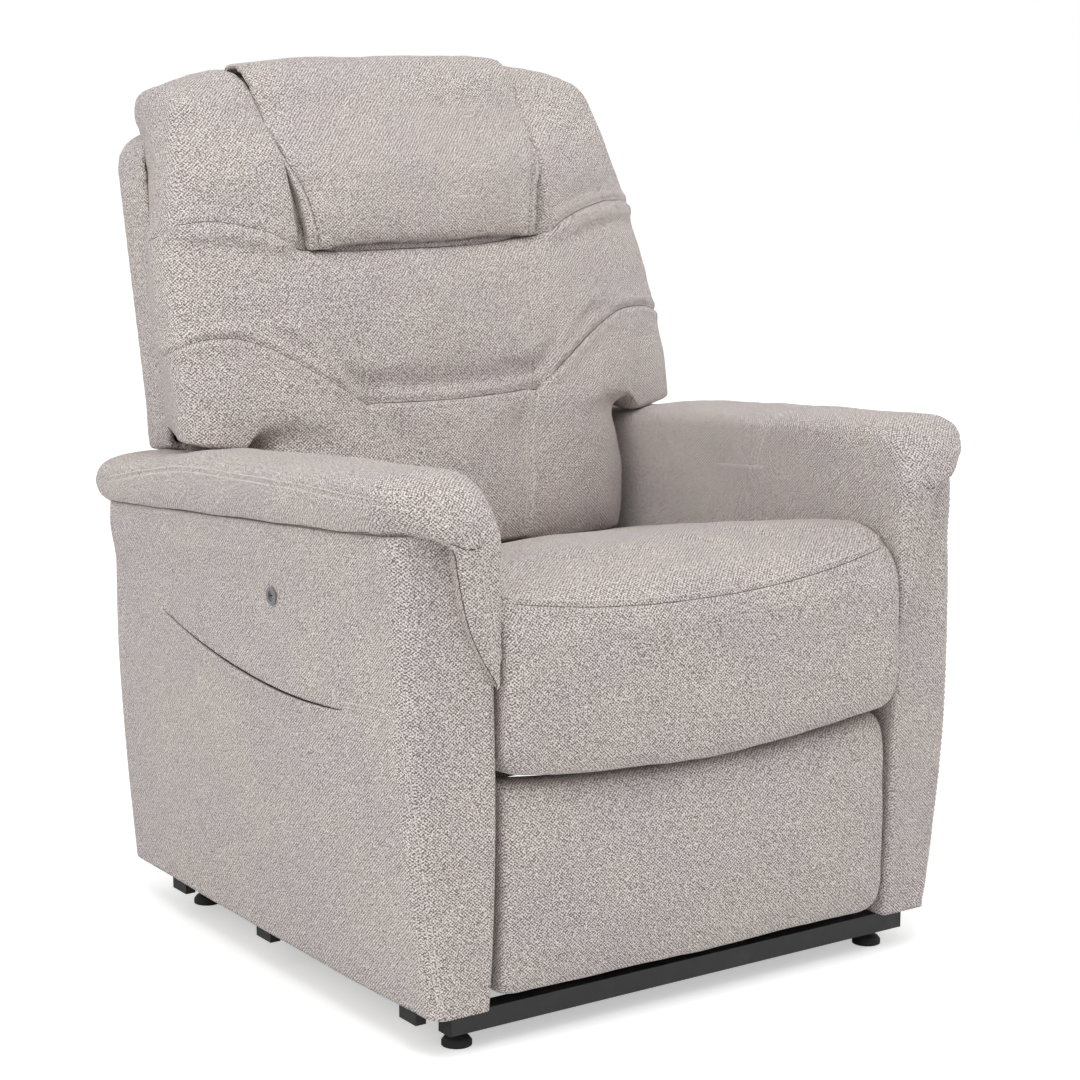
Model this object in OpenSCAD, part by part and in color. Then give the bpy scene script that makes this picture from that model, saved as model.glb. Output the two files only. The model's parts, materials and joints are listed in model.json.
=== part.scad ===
// Lift recliner chair: a steel base that stays on the floor, a lift linkage,
// a chassis with the arms and the seat, a reclining back and a folding footrest.
// X runs across the chair, -Y is its front, +Z is up. All sizes are millimetres.

/* [Seat bay] */
// Distance between the inner faces of the two arms
bay_w = 586; // [560:2:620]
// Gap on each side between the seat cushion and the arm
seat_side_gap = 4; // [2:0.5:8]
// Height of the seat crown behind the front edge
seat_crown_z = 556; // [535:1:575]
// Height of the seat surface where it meets the back
seat_rear_z = 472; // [462:1:476]
// Distance from the middle of the chair to the front of the seat
seat_front = 441; // [430:1:455]
// Height of the middle of the crease between seat and footrest
crease_z = 304; // [300:1:308]
// Rise of that crease from the middle to the side
crease_rise = 22; // [16:1:26]

/* [Arms] */
// Height of the lower edge of the arms above the floor
arm_low_z = 52; // [51.9:0.1:58]
// Half width of the chair at the lower edge of the arms
arm_low_out = 375; // [366:1:382]
// How far the outer side swells beyond its lower edge
arm_swell = 35; // [20:1:38]
// Height of the widest part of the outer side
arm_swell_z = 460; // [420:5:500]
// Distance from the middle to the front of the arms at the floor
arm_front = 410; // [404:1:416]
// Distance from the middle to the rear of the arms
arm_rear = 320; // [316:1:324]
// Height of the arm top at its front, under the pad
arm_top_front = 604; // [590:1:610]
// Height of the arm top at its rear, under the pad
arm_top_rear = 536; // [526:1:544]
// Thickness of the upholstered arm wall
arm_wall = 9; // [7:0.5:11]
// Thickness of the arm pad
pad_t = 69; // [60:1:72]
// Half width of the chair over the arm pads
pad_out = 423; // [418:1:428]
// Height of the tip where the pad ends on the front of the arm
pad_tip_z = 430; // [410:5:460]

/* [Side pocket and socket] */
// Length of the pocket mouth
pocket_l = 420; // [360:5:440]
// Gap of the pocket mouth
pocket_gap = 8; // [7:0.5:10]
// Height of the lowest point of the pocket mouth
pocket_z = 387; // [370:1:400]
// Depth of the pocket below its mouth
pocket_depth = 190; // [150:5:220]
// Clear thickness inside the pocket
pocket_t = 18; // [14:1:24]
// Height of the charging socket
usb_z = 498; // [480:1:510]
// Distance of the charging socket in front of the middle
usb_front = 121; // [100:1:150]
// Radius of the hole for the charging socket
usb_r = 8.5; // [7.5:0.5:9.5]

/* [Back] */
// Height of the top of the back cushion
back_top_z = 1110; // [1095:1:1120]
// Half width of the back cushion at its widest
back_wide = 340; // [330:1:346]
// How much farther out the wings of the back reach at their front
back_flare = 44; // [30:1:48]
// Slope of the rear of the back from the vertical, in degrees
back_slope = 11.9; // [10:0.1:13]
// Depth of the rear shell of the back
back_shell_t = 58; // [50:1:64]
// Half width of the rear shell above the arms
back_shell_w = 332; // [322:1:338]
// Depth of the sewn channels in the back cushion
channel_d = 16; // [8:1:20]
// Height of the recline pivot
recline_z = 400; // [396:1:404]
// Distance of the recline pivot behind the middle
recline_y = 215; // [212:1:218]

/* [Base] */
// Half distance between the centre lines of the side tubes
base_half = 310; // [300:1:314]
// Side of the square base tubes
tube_a = 25; // [24:0.5:25.5]
// Wall of the base tubes
tube_wall = 2; // [1.5:0.25:3]
// Height of the base tubes above the floor
tube_z = 24; // [23:0.5:24.5]
// Distance from the middle to the front of the base
base_front = 392; // [384:1:396]
// Distance from the middle to the rear of the base
base_rear = 268; // [262:1:274]
// Radius of a levelling foot
foot_r = 18; // [15:0.5:20]
// Radius of a foot's threaded stem
foot_stem_r = 5; // [4:0.5:6]

/* [Lift linkage] */
// Distance of the lift arm's base pivot in front of the middle
lift_pivot_front = 190; // [188:1:192]
// Height of the lift arm's base pivot
lift_pivot_z = 88; // [87:1:90]
// Length of the lift arms between their pivots
lift_arm_l = 390; // [386:1:394]
// Angle of the lift arms above the floor at rest, in degrees
lift_arm_a = 6; // [5:0.5:7]
// Distance of the guide link's base pivot in front of the middle
guide_pivot_front = 250; // [248:1:252]
// Height of the guide link's base pivot
guide_pivot_z = 75; // [74:1:77]
// Length of the guide links between their pivots
guide_l = 271.7; // [270:0.1:273]
// Angle of the guide links at rest, in degrees
guide_a = 6.17; // [6:0.01:6.3]
// Radius of the lift pivots
lift_pin_r = 7; // [5:0.5:8]

/* [Footrest linkage] */
// Distance of the footrest pivot in front of the middle
leg_pivot_front = 240; // [236:1:244]
// Height of the footrest pivot
leg_pivot_z = 300; // [298:1:302]
// Length of the rear link from its pivot to the knee
rear_link_l = 185; // [180:1:190]
// Distance from the knee to the lower pivot of the rear link
knee_drop = 45; // [40:1:48]
// Distance of the footrest board's upper pivot in front of the middle
board_pivot_front = 338; // [334:1:342]
// Height of the footrest board's upper pivot
board_pivot_z = 260; // [255:1:264]
// Half width of the footrest
footrest_half = 283; // [276:1:285]
// Height of the lower edge of the footrest
footrest_low_z = 61; // [58:1:66]
// Distance from the middle to the front of the footrest
footrest_front = 426; // [418:1:432]
// Radius of the footrest linkage pins
leg_pin_r = 5; // [4:0.5:6]

/* [Sheet and fits] */
// Thickness of the flat steel links
link_t = 5; // [4:0.25:5.25]
// Thickness of the steel side plates
plate_t = 4; // [3:0.25:4.5]
// Radial clearance of a pin in its bore
fit = 0.05; // [0.02:0.01:0.1]
// Gap between neighbouring pieces
gap = 0.3; // [0.3:0.1:0.6]

/* [Hidden] */
$fn = 40;

fabric = [0.72, 0.67, 0.64];
steel = [0.09, 0.09, 0.10];
zinc = [0.62, 0.63, 0.65];
timber = [0.76, 0.61, 0.42];
black = [0.05, 0.05, 0.055];

// ---- derived places -------------------------------------------------------
bay = bay_w / 2;
tube_top = tube_z + tube_a;

// Layers across the chair, counted outwards from the middle plane
plate_x = bay - 9;                     // inner side of the chassis side plates
layer = link_t + 1;                    // pitch of the footrest link layers
leg_a = plate_x - layer;               // guide links
leg_b = leg_a - layer;                 // front links
leg_c = leg_b - layer;                 // rear links and board brackets
leg_d = leg_c - layer;                 // board links
lift_x = 235;                          // base brackets and lift plates
lift_arm_x = lift_x - link_t - 3;      // lift arms, inside the brackets
lift_guide_x = lift_x + plate_t + 2;   // guide links, outside the brackets

// Pivots as [y, z]
function polar(c, r, a) = [c[0] + r * cos(a), c[1] + r * sin(a)];
pivot_lift = [-lift_pivot_front, lift_pivot_z];
pivot_lift_top = polar(pivot_lift, lift_arm_l, lift_arm_a);
pivot_guide = [-guide_pivot_front, guide_pivot_z];
pivot_guide_top = polar(pivot_guide, guide_l, guide_a);
pivot_recline = [recline_y, recline_z];
pivot_leg = [-leg_pivot_front, leg_pivot_z];
pivot_knee = [-leg_pivot_front, leg_pivot_z - rear_link_l];
pivot_board = [-board_pivot_front, board_pivot_z];
drop = [0, -knee_drop];
pivot_leg_guide = [-leg_pivot_front + 28, leg_pivot_z - 18];
front_link_l = norm(pivot_board - pivot_knee);
front_dir = (pivot_board - pivot_knee) / front_link_l;
pivot_guide_end = pivot_knee - 25 * front_dir + [1.9, -1];

// Actuators: fixed pivot, eye at rest and crank pin, each as [y, z]
lift_act_x = 0;
lift_act = [230, 85];
lift_crank_r = 80;
lift_crank = polar(pivot_lift, lift_crank_r, lift_arm_a + 64);
lift_eye = lift_crank + [-0.26, 3.65];
leg_act_x = 90;
leg_act = [140, 275];
leg_crank_r = 36;
leg_crank = polar(pivot_leg, leg_crank_r, -55);
leg_eye = leg_crank + [-0.78, -5.06];
recline_act_x = -90;
recline_act = [-130, 265];
recline_crank_r = 90;
recline_crank = polar(pivot_recline, recline_crank_r, -70);
recline_eye = recline_crank + [-0.25, -3.2];
crank_pin_r = 4;
eye_t = 7;
tab_t = 4;
tab_in = eye_t / 2 + 1;

// Chassis rails
rail_low = 322;
rail_top = 350;
rail_front_y = -345;
rail_t = 22;
rear_rail_y = 125;
cross_front_y = -162;
cross_front_z = rail_low - tube_a - 0.5;
cross_rear_y = 138;
cross_rear_z = 225;
board_t = 12;
board_back_y = -350;
bolt_places = [[-138, 268], [15, 300], [15, 232], [118, 234]];
bolt_r = 4;
panel_y = arm_rear - 12;
panel_t = 12;
panel_low = 76;
panel_top = 346;

// ---- small helpers --------------------------------------------------------
module both() {
    children();
    mirror([1, 0, 0]) children();
}

// A profile drawn in Y and Z, thick from x0 to x1
module slab(x0, x1) {
    translate([x0, 0, 0]) rotate([90, 0, 90]) linear_extrude(x1 - x0) children();
}

module rod_x(p, x0, x1, r) {
    translate([x0, p[0], p[1]]) rotate([0, 90, 0]) cylinder(h = x1 - x0, r = r);
}

module disc(p, r) {
    translate(p) circle(r);
}

// Flat bar with round ends between two points
module bar(p, q, r) {
    d = (q - p) / norm(q - p);
    n = [-d[1], d[0]] * (r - 0.02);
    disc(p, r);
    disc(q, r);
    polygon([p + n, p - n, q - n, q + n]);
}

module square_tube(size, long) {
    wall = tube_wall;
    difference() {
        cube(size);
        if (long == 0) translate([-1, wall, wall])
            cube([size[0] + 2, size[1] - 2 * wall, size[2] - 2 * wall]);
        if (long == 1) translate([wall, -1, wall])
            cube([size[0] - 2 * wall, size[1] + 2, size[2] - 2 * wall]);
    }
}

// Closed surface through a list of rings that all have as many points.
// The points of a ring run counter-clockwise about the way the rings advance.
// An end that isn't flat is closed by rungs between its two edges: by height where both
// rise, or from point to point where the ring is a bent strip.
function rungs(ring, i, j) =
    j - i < 2 ? []
    : ring[i + 1][2] < ring[j - 1][2] ? concat([[i, i + 1, j]], rungs(ring, i + 1, j))
    : concat([[i, j - 1, j]], rungs(ring, i, j - 1));
function ladder(i, j) =
    j - i < 2 ? []
    : j - i < 3 ? [[i, i + 1, j]]
    : concat([[i, i + 1, j], [i + 1, j - 1, j]], ladder(i + 1, j - 1));
function end_faces(ring, ends) =
    let (last = len(ring) - 1)
    ends == "rungs" ? rungs(ring, 0, last)
    : ends == "ladder" ? ladder(0, last)
    : [[for (i = [0:last]) i]];
module skin(rings, ends = "flat") {
    n = len(rings[0]);
    m = len(rings);
    points = [for (ring = rings) each ring];
    sides = [for (j = [0:m - 2], i = [0:n - 1], h = [0, 1])
        let (a = j * n + i, b = j * n + (i + 1) % n)
        h == 0 ? [a, a + n, b] : [b, a + n, b + n]];
    low = end_faces(rings[0], ends);
    high = end_faces(rings[m - 1], ends);
    last = (m - 1) * n;
    turned = [for (f = high) [for (k = [len(f) - 1:-1:0]) last + f[k]]];
    polyhedron(points = points, faces = concat(sides, low, turned));
}

function power(v, e) = sign(v) * pow(abs(v), e);
function mix(a, b, t) = a + (b - a) * t;
function clamp(t) = min(1, max(0, t));
function smooth(t) = let (c = clamp(t)) c * c * (3 - 2 * c);
function groove(d, w) = exp(-d * d / (w * w));

// Serpentine flat spring wire between y = 0 and y = l, centred on x = 0
module sinuous(l, w, pitch, wire) {
    count = floor((l - 2 * pitch) / (2 * pitch)) * 2;
    lead = (l - count * pitch) / 2;
    r = pitch / 2;
    side = w / 2 - r;
    translate([-wire / 2, 0]) square([wire, lead - r + wire / 2]);
    translate([-wire / 2, l - lead + r - wire / 2]) square([wire, lead - r + wire / 2]);
    for (k = [0:count - 1]) {
        y = lead + k * pitch;
        s = k % 2 == 0 ? 1 : -1;
        translate([s * side, y]) difference() {
            circle(r + wire / 2);
            circle(r - wire / 2);
            translate([s > 0 ? -2 * r : 0, -2 * r]) square([2 * r, 4 * r]);
        }
    }
    for (k = [0:count]) {
        y = lead + (k - 0.5) * pitch;
        x0 = k == 0 ? -wire / 2 : -side;
        x1 = k == count ? wire / 2 : side;
        translate([x0, y - wire / 2]) square([x1 - x0, wire]);
    }
}

// ---- base on the floor ----------------------------------------------------
side_x = base_half - tube_a / 2;
cap_t = 2;
tube_end = base_half + 27;

module base_front_tube() color(steel)
    translate([-tube_end, -base_front, tube_z])
        square_tube([2 * tube_end, tube_a, tube_a], 0);

module foot_bore(y) translate([base_half, y, tube_z - 1]) cylinder(h = tube_wall + 2, r = foot_stem_r + fit);

module base_rear_tube() color(steel) difference() {
    translate([-tube_end, base_rear - tube_a, tube_z])
        square_tube([2 * tube_end, tube_a, tube_a], 0);
    both() foot_bore(foot_y[1]);
}

module base_mid_tube() color(steel)
    translate([-side_x, -lift_pivot_front - tube_a / 2, tube_z])
        square_tube([2 * side_x, tube_a, tube_a], 0);

module base_side_tubes() color(steel) both() difference() {
    translate([side_x, -base_front + tube_a, tube_z])
        square_tube([tube_a, base_front + base_rear - 2 * tube_a, tube_a], 1);
    foot_bore(foot_y[0]);
}

module base_end_caps() color(black) both()
    for (y = [-base_front, base_rear - tube_a]) {
        translate([tube_end, y, tube_z]) cube([cap_t, tube_a, tube_a]);
        translate([tube_end - 10, y + tube_wall + 0.2, tube_z + tube_wall + 0.2])
            cube([10 + 0.01, tube_a - 2 * tube_wall - 0.4, tube_a - 2 * tube_wall - 0.4]);
    }

module base_rest_pads() color(black) both()
    for (y = [-300, 170])
        translate([base_half - 11, y, tube_top])
            cube([22, 40, arm_low_z - tube_top - gap]);

// Plates on the middle tube that carry the lift arms and the guide links
module lift_pivot_brackets() color(steel) both() {
    foot_y = -lift_pivot_front - tube_a / 2;
    slab(lift_x, lift_x + plate_t) difference() {
        union() {
            bar(pivot_lift, pivot_guide, 15);
            polygon([[foot_y, tube_top], [foot_y + tube_a, tube_top],
                pivot_lift + [14, -4], pivot_lift + [-14, 4]]);
            polygon([[foot_y, tube_top], [foot_y + tube_a, tube_top],
                pivot_lift, pivot_guide + [4, -14]]);
        }
        disc(pivot_lift, lift_pin_r + fit);
    }
    rod_x(pivot_guide, lift_x, lift_guide_x + link_t + 2, lift_pin_r);
    rod_x(pivot_guide, lift_guide_x + link_t + 0.5, lift_guide_x + link_t + 3, lift_pin_r + 3);
    translate([lift_x, foot_y, tube_top]) cube([22, tube_a, 3]);
}

foot_y = [-base_front + tube_a + 7, base_rear - tube_a / 2];
module levelling_feet() color(black) both()
    for (y = foot_y) translate([base_half, y, 0]) {
        rotate_extrude() polygon([[0, 0], [foot_r, 0], [foot_r, 5], [foot_r - 3, 9],
            [foot_stem_r + 4, 12], [0, 12]]);
        cylinder(h = tube_z + 12, r = foot_stem_r);
    }

module foot_nuts() color(zinc) both()
    for (y = foot_y) translate([base_half, y, tube_z - 6]) difference() {
        cylinder(h = 6, r = 9.5, $fn = 6);
        translate([0, 0, -1]) cylinder(h = 8, r = foot_stem_r + fit);
    }

module motor_tabs(p, x, foot) {
    for (s = [-1, 1])
        slab(x + (s > 0 ? 5 : -5 - tab_t), x + (s > 0 ? 5 + tab_t : -5)) difference() {
            union() {
                disc(p, 11);
                polygon(concat([polar(p, 11, 200), polar(p, 11, -20)], foot));
            }
        }
    rod_x(p, x - 5 - tab_t - 1, x + 5 + tab_t + 1, 5);
}

module lift_motor_bracket() color(steel) {
    y0 = base_rear - tube_a;
    for (s = [-1, 1])
        slab(s > 0 ? 5 : -5 - tab_t, s > 0 ? 5 + tab_t : -5) {
            disc(lift_act, 11);
            polygon([lift_act + [-11, 0], [y0, tube_top], [y0 + tube_a, tube_top], lift_act + [11, 2]]);
        }
    rod_x(lift_act, -5 - tab_t - 1, 5 + tab_t + 1, 5);
    translate([-25, y0, tube_top]) cube([50, tube_a, 3]);
}

supply = [-215, base_rear - 68, tube_top];
supply_size = [150, 80, 38];
module power_supply() color(black) {
    difference() {
        translate(supply) cube(supply_size);
        translate(supply + [30, supply_size[1] - 14, 8]) cube([28, 20, 21]);
        for (k = [0:8]) translate(supply + [75 + 7 * k, 12, supply_size[2] - 2]) cube([3, 50, 4]);
    }
}

module power_inlet() color([0.13, 0.13, 0.14]) {
    p = supply + [30.2, supply_size[1] - 13.8, 8.2];
    difference() {
        translate(p) cube([27.6, 15, 20.6]);
        translate(p + [3, 4, 3]) cube([21.6, 20, 14.6]);
    }
    for (k = [0, 1]) translate(p + [9 + 9 * k, 3, 10.3]) rotate([-90, 0, 0]) cylinder(h = 9, r = 1.5);
}

// ---- lift linkage ---------------------------------------------------------
module lift_arms() color(steel) both() {
    slab(lift_arm_x, lift_arm_x + link_t) difference() {
        bar(pivot_lift, pivot_lift_top, 15);
        disc(pivot_lift_top, lift_pin_r + fit);
        translate((pivot_lift + pivot_lift_top) / 2) rotate(lift_arm_a) square([150, 8], center = true);
    }
    rod_x(pivot_lift, lift_arm_x, lift_x + plate_t + 1, lift_pin_r);
}

module crank(c, p, x) {
    for (s = [-1, 1])
        slab(x + (s > 0 ? tab_in : -tab_in - tab_t), x + (s > 0 ? tab_in + tab_t : -tab_in))
            bar(c, p, 10);
    rod_x(p, x - tab_in - tab_t, x + tab_in + tab_t, crank_pin_r);
}

module lift_torque_tube() color(steel) {
    rod_x(pivot_lift, -lift_arm_x, lift_arm_x, 12.5);
    crank(pivot_lift, lift_crank, lift_act_x);
}

module lift_guide_links() color(steel) both()
    slab(lift_guide_x, lift_guide_x + link_t) difference() {
        bar(pivot_guide, pivot_guide_top, 12.5);
        disc(pivot_guide, lift_pin_r + fit);
        disc(pivot_guide_top, lift_pin_r + 2);
    }

// ---- linear actuators -----------------------------------------------------
// Local frame: the fixed pivot at the origin, the rod along +Y
module along(p, q, x) {
    a = atan2(q[1] - p[1], q[0] - p[0]);
    translate([x, p[0], p[1]]) rotate([a, 0, 0]) children();
}

module actuator_motor(can_side) {
    difference() {
        union() {
            translate([-4, 0, 0]) rotate([0, 90, 0]) cylinder(h = 8, r = 10);
            translate([-4, 0, -9]) cube([8, 20, 18]);
            translate([-21, 16, -24]) cube([42, 56, 48]);
            translate([can_side * 21, 44, 0]) rotate([0, can_side * 90, 0]) cylinder(h = 62, r = 20);
            translate([can_side * 83, 44, 0]) rotate([0, can_side * 90, 0]) cylinder(h = 5, r = 15);
        }
        translate([-5, 0, 0]) rotate([0, 90, 0]) cylinder(h = 10, r = 5 + fit);
    }
}

rod_r = 8;
eye_l = 28;
module actuator_tube(end) difference() {
    union() {
        translate([0, 72, 0]) rotate([-90, 0, 0]) cylinder(h = end - 72, r = 14);
        translate([0, end - 18, 0]) rotate([-90, 0, 0]) cylinder(h = 18, r = 16);
    }
    translate([0, 76, 0]) rotate([-90, 0, 0]) cylinder(h = end, r = rod_r + 2 * fit);
}

module actuator_rod(start, reach, slot) {
    translate([0, start, 0]) rotate([-90, 0, 0]) cylinder(h = reach - eye_l - start, r = rod_r);
    difference() {
        union() {
            translate([-eye_t / 2, reach - eye_l - 3, -6]) cube([eye_t, eye_l, 12]);
            slab(-eye_t / 2, eye_t / 2) bar([reach, -slot], [reach, slot], 10);
        }
        slab(-eye_t, eye_t) bar([reach, -slot], [reach, slot], crank_pin_r + 2);
    }
}

module lift_motor() color(black) along(lift_act, lift_eye, lift_act_x) actuator_motor(1);
module lift_motor_tube() color([0.2, 0.2, 0.21]) along(lift_act, lift_eye, lift_act_x) actuator_tube(350);
module lift_rod() color(zinc) along(lift_act, lift_eye, lift_act_x)
    actuator_rod(130, norm(lift_eye - lift_act), 3.8);

module legrest_motor() color(black) along(leg_act, leg_eye, leg_act_x) actuator_motor(1);
module legrest_motor_tube() color([0.2, 0.2, 0.21]) along(leg_act, leg_eye, leg_act_x) actuator_tube(305);
module legrest_rod() color(zinc) along(leg_act, leg_eye, leg_act_x)
    actuator_rod(120, norm(leg_eye - leg_act), 5.4);

module recline_motor() color(black)
    along(recline_act, recline_eye, recline_act_x) actuator_motor(-1);
module recline_motor_tube() color([0.2, 0.2, 0.21])
    along(recline_act, recline_eye, recline_act_x) actuator_tube(230);
module recline_rod() color(zinc) along(recline_act, recline_eye, recline_act_x)
    actuator_rod(150, norm(recline_eye - recline_act), 3.8);

// ---- chassis --------------------------------------------------------------
module chassis_side_plates() color(steel) both() {
    slab(plate_x, plate_x + plate_t) difference() {
        polygon([[-265, rail_top], [-265, 288], [-240, 262], [-195, 250], [-120, 215], [160, 215],
            [200, 300], [236, 385], [236, 412], [220, 421], [200, 421], [180, 400], [150, rail_top]]);
        for (y = [-90, 50]) translate([y, 262]) bar([0, 0], [70, 0], 16);
        for (p = bolt_places) disc(p, bolt_r + fit);
    }
    for (p = bolt_places) slab(plate_x + plate_t, bay - gap) difference() {
        disc(p, 12);
        disc(p, bolt_r + fit);
    }
    rod_x(pivot_leg, leg_c, plate_x, leg_pin_r);
    rod_x(pivot_leg_guide, leg_a, plate_x, leg_pin_r);
    rod_x(pivot_recline, plate_x - 24, plate_x, 8);
}

module chassis_cross_tubes() color(steel) {
    w = 2 * plate_x;
    translate([-plate_x, cross_front_y, cross_front_z]) square_tube([w, tube_a, tube_a], 0);
    translate([-plate_x, cross_rear_y, cross_rear_z]) square_tube([w, tube_a, tube_a], 0);
}

// Hanging plates that join the chassis to the lift arms and guide links
module lift_plates() color(steel) both() {
    slab(lift_x, lift_x + plate_t) difference() {
        union() {
            disc(pivot_lift_top, 17);
            disc(pivot_guide_top, 17);
            polygon([pivot_guide_top + [-17, 0], pivot_guide_top + [0, -17], pivot_lift_top + [0, -17],
                pivot_lift_top + [17, 0], [cross_rear_y + tube_a, cross_rear_z],
                [cross_rear_y, cross_rear_z], [10, cross_rear_z - 20],
                [cross_front_y + tube_a, cross_front_z], [cross_front_y, cross_front_z]]);
        }
        translate([110, 168]) bar([-40, 0], [20, 0], 15);
    }
    rod_x(pivot_lift_top, lift_arm_x - 2, lift_x, lift_pin_r);
    rod_x(pivot_guide_top, lift_x, lift_guide_x + link_t + 2, lift_pin_r);
}

function arm_top(y) = mix(arm_top_front, arm_top_rear, (y + arm_front) / (arm_front + arm_rear));
function arm_out(z) = arm_low_out + arm_swell * (1 - pow((z - arm_swell_z) / (arm_swell_z - arm_low_z), 2));
function front_in(z) = -arm_front - 16 * (1 - pow((z - 330) / 290, 2)) + 1.3;
function front_out(z) = -arm_front + 16 * pow(clamp((z - arm_low_z) / 548), 3);
function rear_at(z) = arm_rear + 33 * pow(clamp((arm_top_front - z) / 548), 3);

// Plan of an arm as fractions of its width and depth, counter-clockwise
arm_plan = [
    for (a = [180:22.5:270]) [0.10 + 0.10 * cos(a), 0.012 + 0.012 * sin(a)],
    [0.45, 0],
    for (a = [270:22.5:360]) [0.78 + 0.22 * cos(a), 0.034 + 0.034 * sin(a)],
    for (v = [0.14, 0.28, 0.42, 0.58, 0.72, 0.86]) [1, v],
    for (a = [0:22.5:90]) [0.80 + 0.20 * cos(a), 0.972 + 0.028 * sin(a)],
    for (a = [90:22.5:180]) [0.10 + 0.10 * cos(a), 0.988 + 0.012 * sin(a)],
    for (v = [0.7, 0.35]) [0, v]
];

// One level of the arm: t runs from the lower edge to the top, inset goes inwards
function arm_ring(t, inset) = [
    for (p = arm_plan)
        let (
            z_mid = mix(arm_low_z, arm_top_front, t),
            swell = 5 * (pow(2 * p[1] - 1, 2)),
            x = mix(bay + inset, arm_out(z_mid) - swell - inset, p[0]),
            y = mix(mix(front_in(z_mid), front_out(z_mid), p[0]) + inset, rear_at(z_mid) - inset, p[1])
        )
        [x, y, mix(arm_low_z, arm_top(y) - inset, t)]
];

module arm_shell() skin(concat(
    [for (t = [1, 0.8, 0.55, 0.3, 0]) arm_ring(t, arm_wall)],
    [for (t = [0, 0.015, 0.1, 0.22, 0.34, 0.46, 0.58, 0.7, 0.82, 0.92, 1]) arm_ring(t, 0)]
));

// Line of the pocket mouth, as a height for each place along the arm
pocket_y = -40;
function mouth_z(y) = let (q = (y - pocket_y) / (pocket_l / 2)) pocket_z + 14 * q * q + 16 * max(0, q);

module pocket_slot() {
    steps = 10;
    ys = [for (i = [0:steps]) pocket_y - pocket_l / 2 + i * pocket_l / steps];
    slab(-arm_out(arm_swell_z) - 20, -arm_out(arm_swell_z) + arm_wall + 27)
        polygon(concat(
            [for (y = ys) [y, mouth_z(y) - pocket_gap / 2]],
            [for (i = [steps:-1:0]) [ys[i], mouth_z(ys[i]) + pocket_gap / 2]]));
}

usb_x = arm_out(usb_z) - 5 * pow(2 * (arm_front - usb_front) / (arm_front + arm_rear) - 1, 2);

module left_arm_shell() color(fabric) arm_shell();
module right_arm_shell() color(fabric) difference() {
    mirror([1, 0, 0]) arm_shell();
    pocket_slot();
    rod_x([-usb_front, usb_z], -usb_x - 20, -usb_x + 30, usb_r + fit);
}

module arm_frame() {
    in = bay + arm_wall + gap;
    y0 = -arm_front + 34;
    y1 = arm_rear - 26;
    z0 = arm_low_z + 6;
    top0 = arm_top(y0) - arm_wall - 8;
    top1 = arm_top(y1) - arm_wall - 8;
    slab(in, in + 12) difference() {
        polygon([[y0, z0], [y1, z0], [y1, top1], [y0, top0]]);
        for (y = [-250, -40, 160], z = [180, 320]) disc([y, z], 42);
    }
    for (y = [y0, y1 - 40]) translate([in + 12, y, z0]) cube([26, 40, arm_top(y + 40) - arm_wall - 12 - z0]);
    slab(in + 12, in + 38) {
        polygon([[y0 + 40, top0 - 40], [y1 - 40, top1 - 40], [y1 - 40, top1 - 4], [y0 + 40, top0 - 8]]);
        polygon([[y0 + 40, z0], [y1 - 40, z0], [y1 - 40, z0 + 40], [y0 + 40, z0 + 40]]);
    }
}
module arm_frames() color(timber) both() arm_frame();

// Arm pad: each ring stands across a line that runs forward along the arm,
// turns down over the front and narrows to a tip on the inner edge
turn = [-arm_front + 44, arm_top(-arm_front + 44) - 6];
turn_r = pad_t + 6;
turn_in = 47;
arm_slope = (arm_top_front - arm_top_rear) / (arm_front + arm_rear);
function oval(c, dir, hw, ht, x) = [
    for (a = [0:18:342])
        let (u = power(cos(a), 0.62), v = -power(sin(a), 0.62))
        [x + hw * u, c[0] + dir[0] * ht * v, c[1] + dir[1] * ht * v]
];
pad_rear = arm_rear + 19;
pad_in = bay - 1;
function pad_flat(y) =
    let (
        k = sqrt(1 - pow(clamp((y - pad_rear + 30) / 30.8), 2)),
        swell = 1 + 0.07 * sin(180 * clamp((arm_rear - y) / (arm_front + arm_rear))),
        low = arm_top(y) + gap,
        half = pad_t * swell / 2,
        hw = (pad_out - pad_in) / 2 * (0.86 + 0.14 * k)
    )
    oval([y, low + half], [0, 1], hw, half * k, pad_in + (pad_out - pad_in) / 2);
function pad_turn(a) =
    let (
        r0 = min(turn_in, (6 + 1.5 * gap) / max(0.05, cos(a) - arm_slope * sin(a))),
        out = mix(pad_in + 47, pad_out, pow(cos(a), 0.6)),
        mid = (turn_r + r0) / 2,
        dir = [-sin(a), cos(a)]
    )
    oval(turn + dir * mid, dir, (out - pad_in) / 2, (turn_r - r0) / 2, (out + pad_in) / 2);
function pad_strip(q) =
    let (
        z = mix(turn[1], pad_tip_z, q),
        back = min(front_in(z), turn[0] - turn_in) - gap,
        t = mix(turn_r - turn_in - 1, 3, pow(q, 0.8)),
        out = pad_in + 4 + 43 * pow(1 - q, 1.6)
    )
    oval([back - t / 2, z], [-1, 0], (out - pad_in) / 2, t / 2, (out + pad_in) / 2);
module arm_pad() skin(concat(
    [for (q = [1, 0.8, 0.6, 0.4, 0.2, 0.08]) pad_strip(q)],
    [for (a = [88, 82, 77, 68, 54, 38, 20]) pad_turn(a)],
    [for (y = [turn[0], -300, -200, -100, 0, 100, 200, 280, 309, 322, 331, 337, 339])
        pad_flat(min(y, pad_rear))]
));
module left_arm_pad() color(fabric) arm_pad();
module right_arm_pad() color(fabric) mirror([1, 0, 0]) arm_pad();

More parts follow.
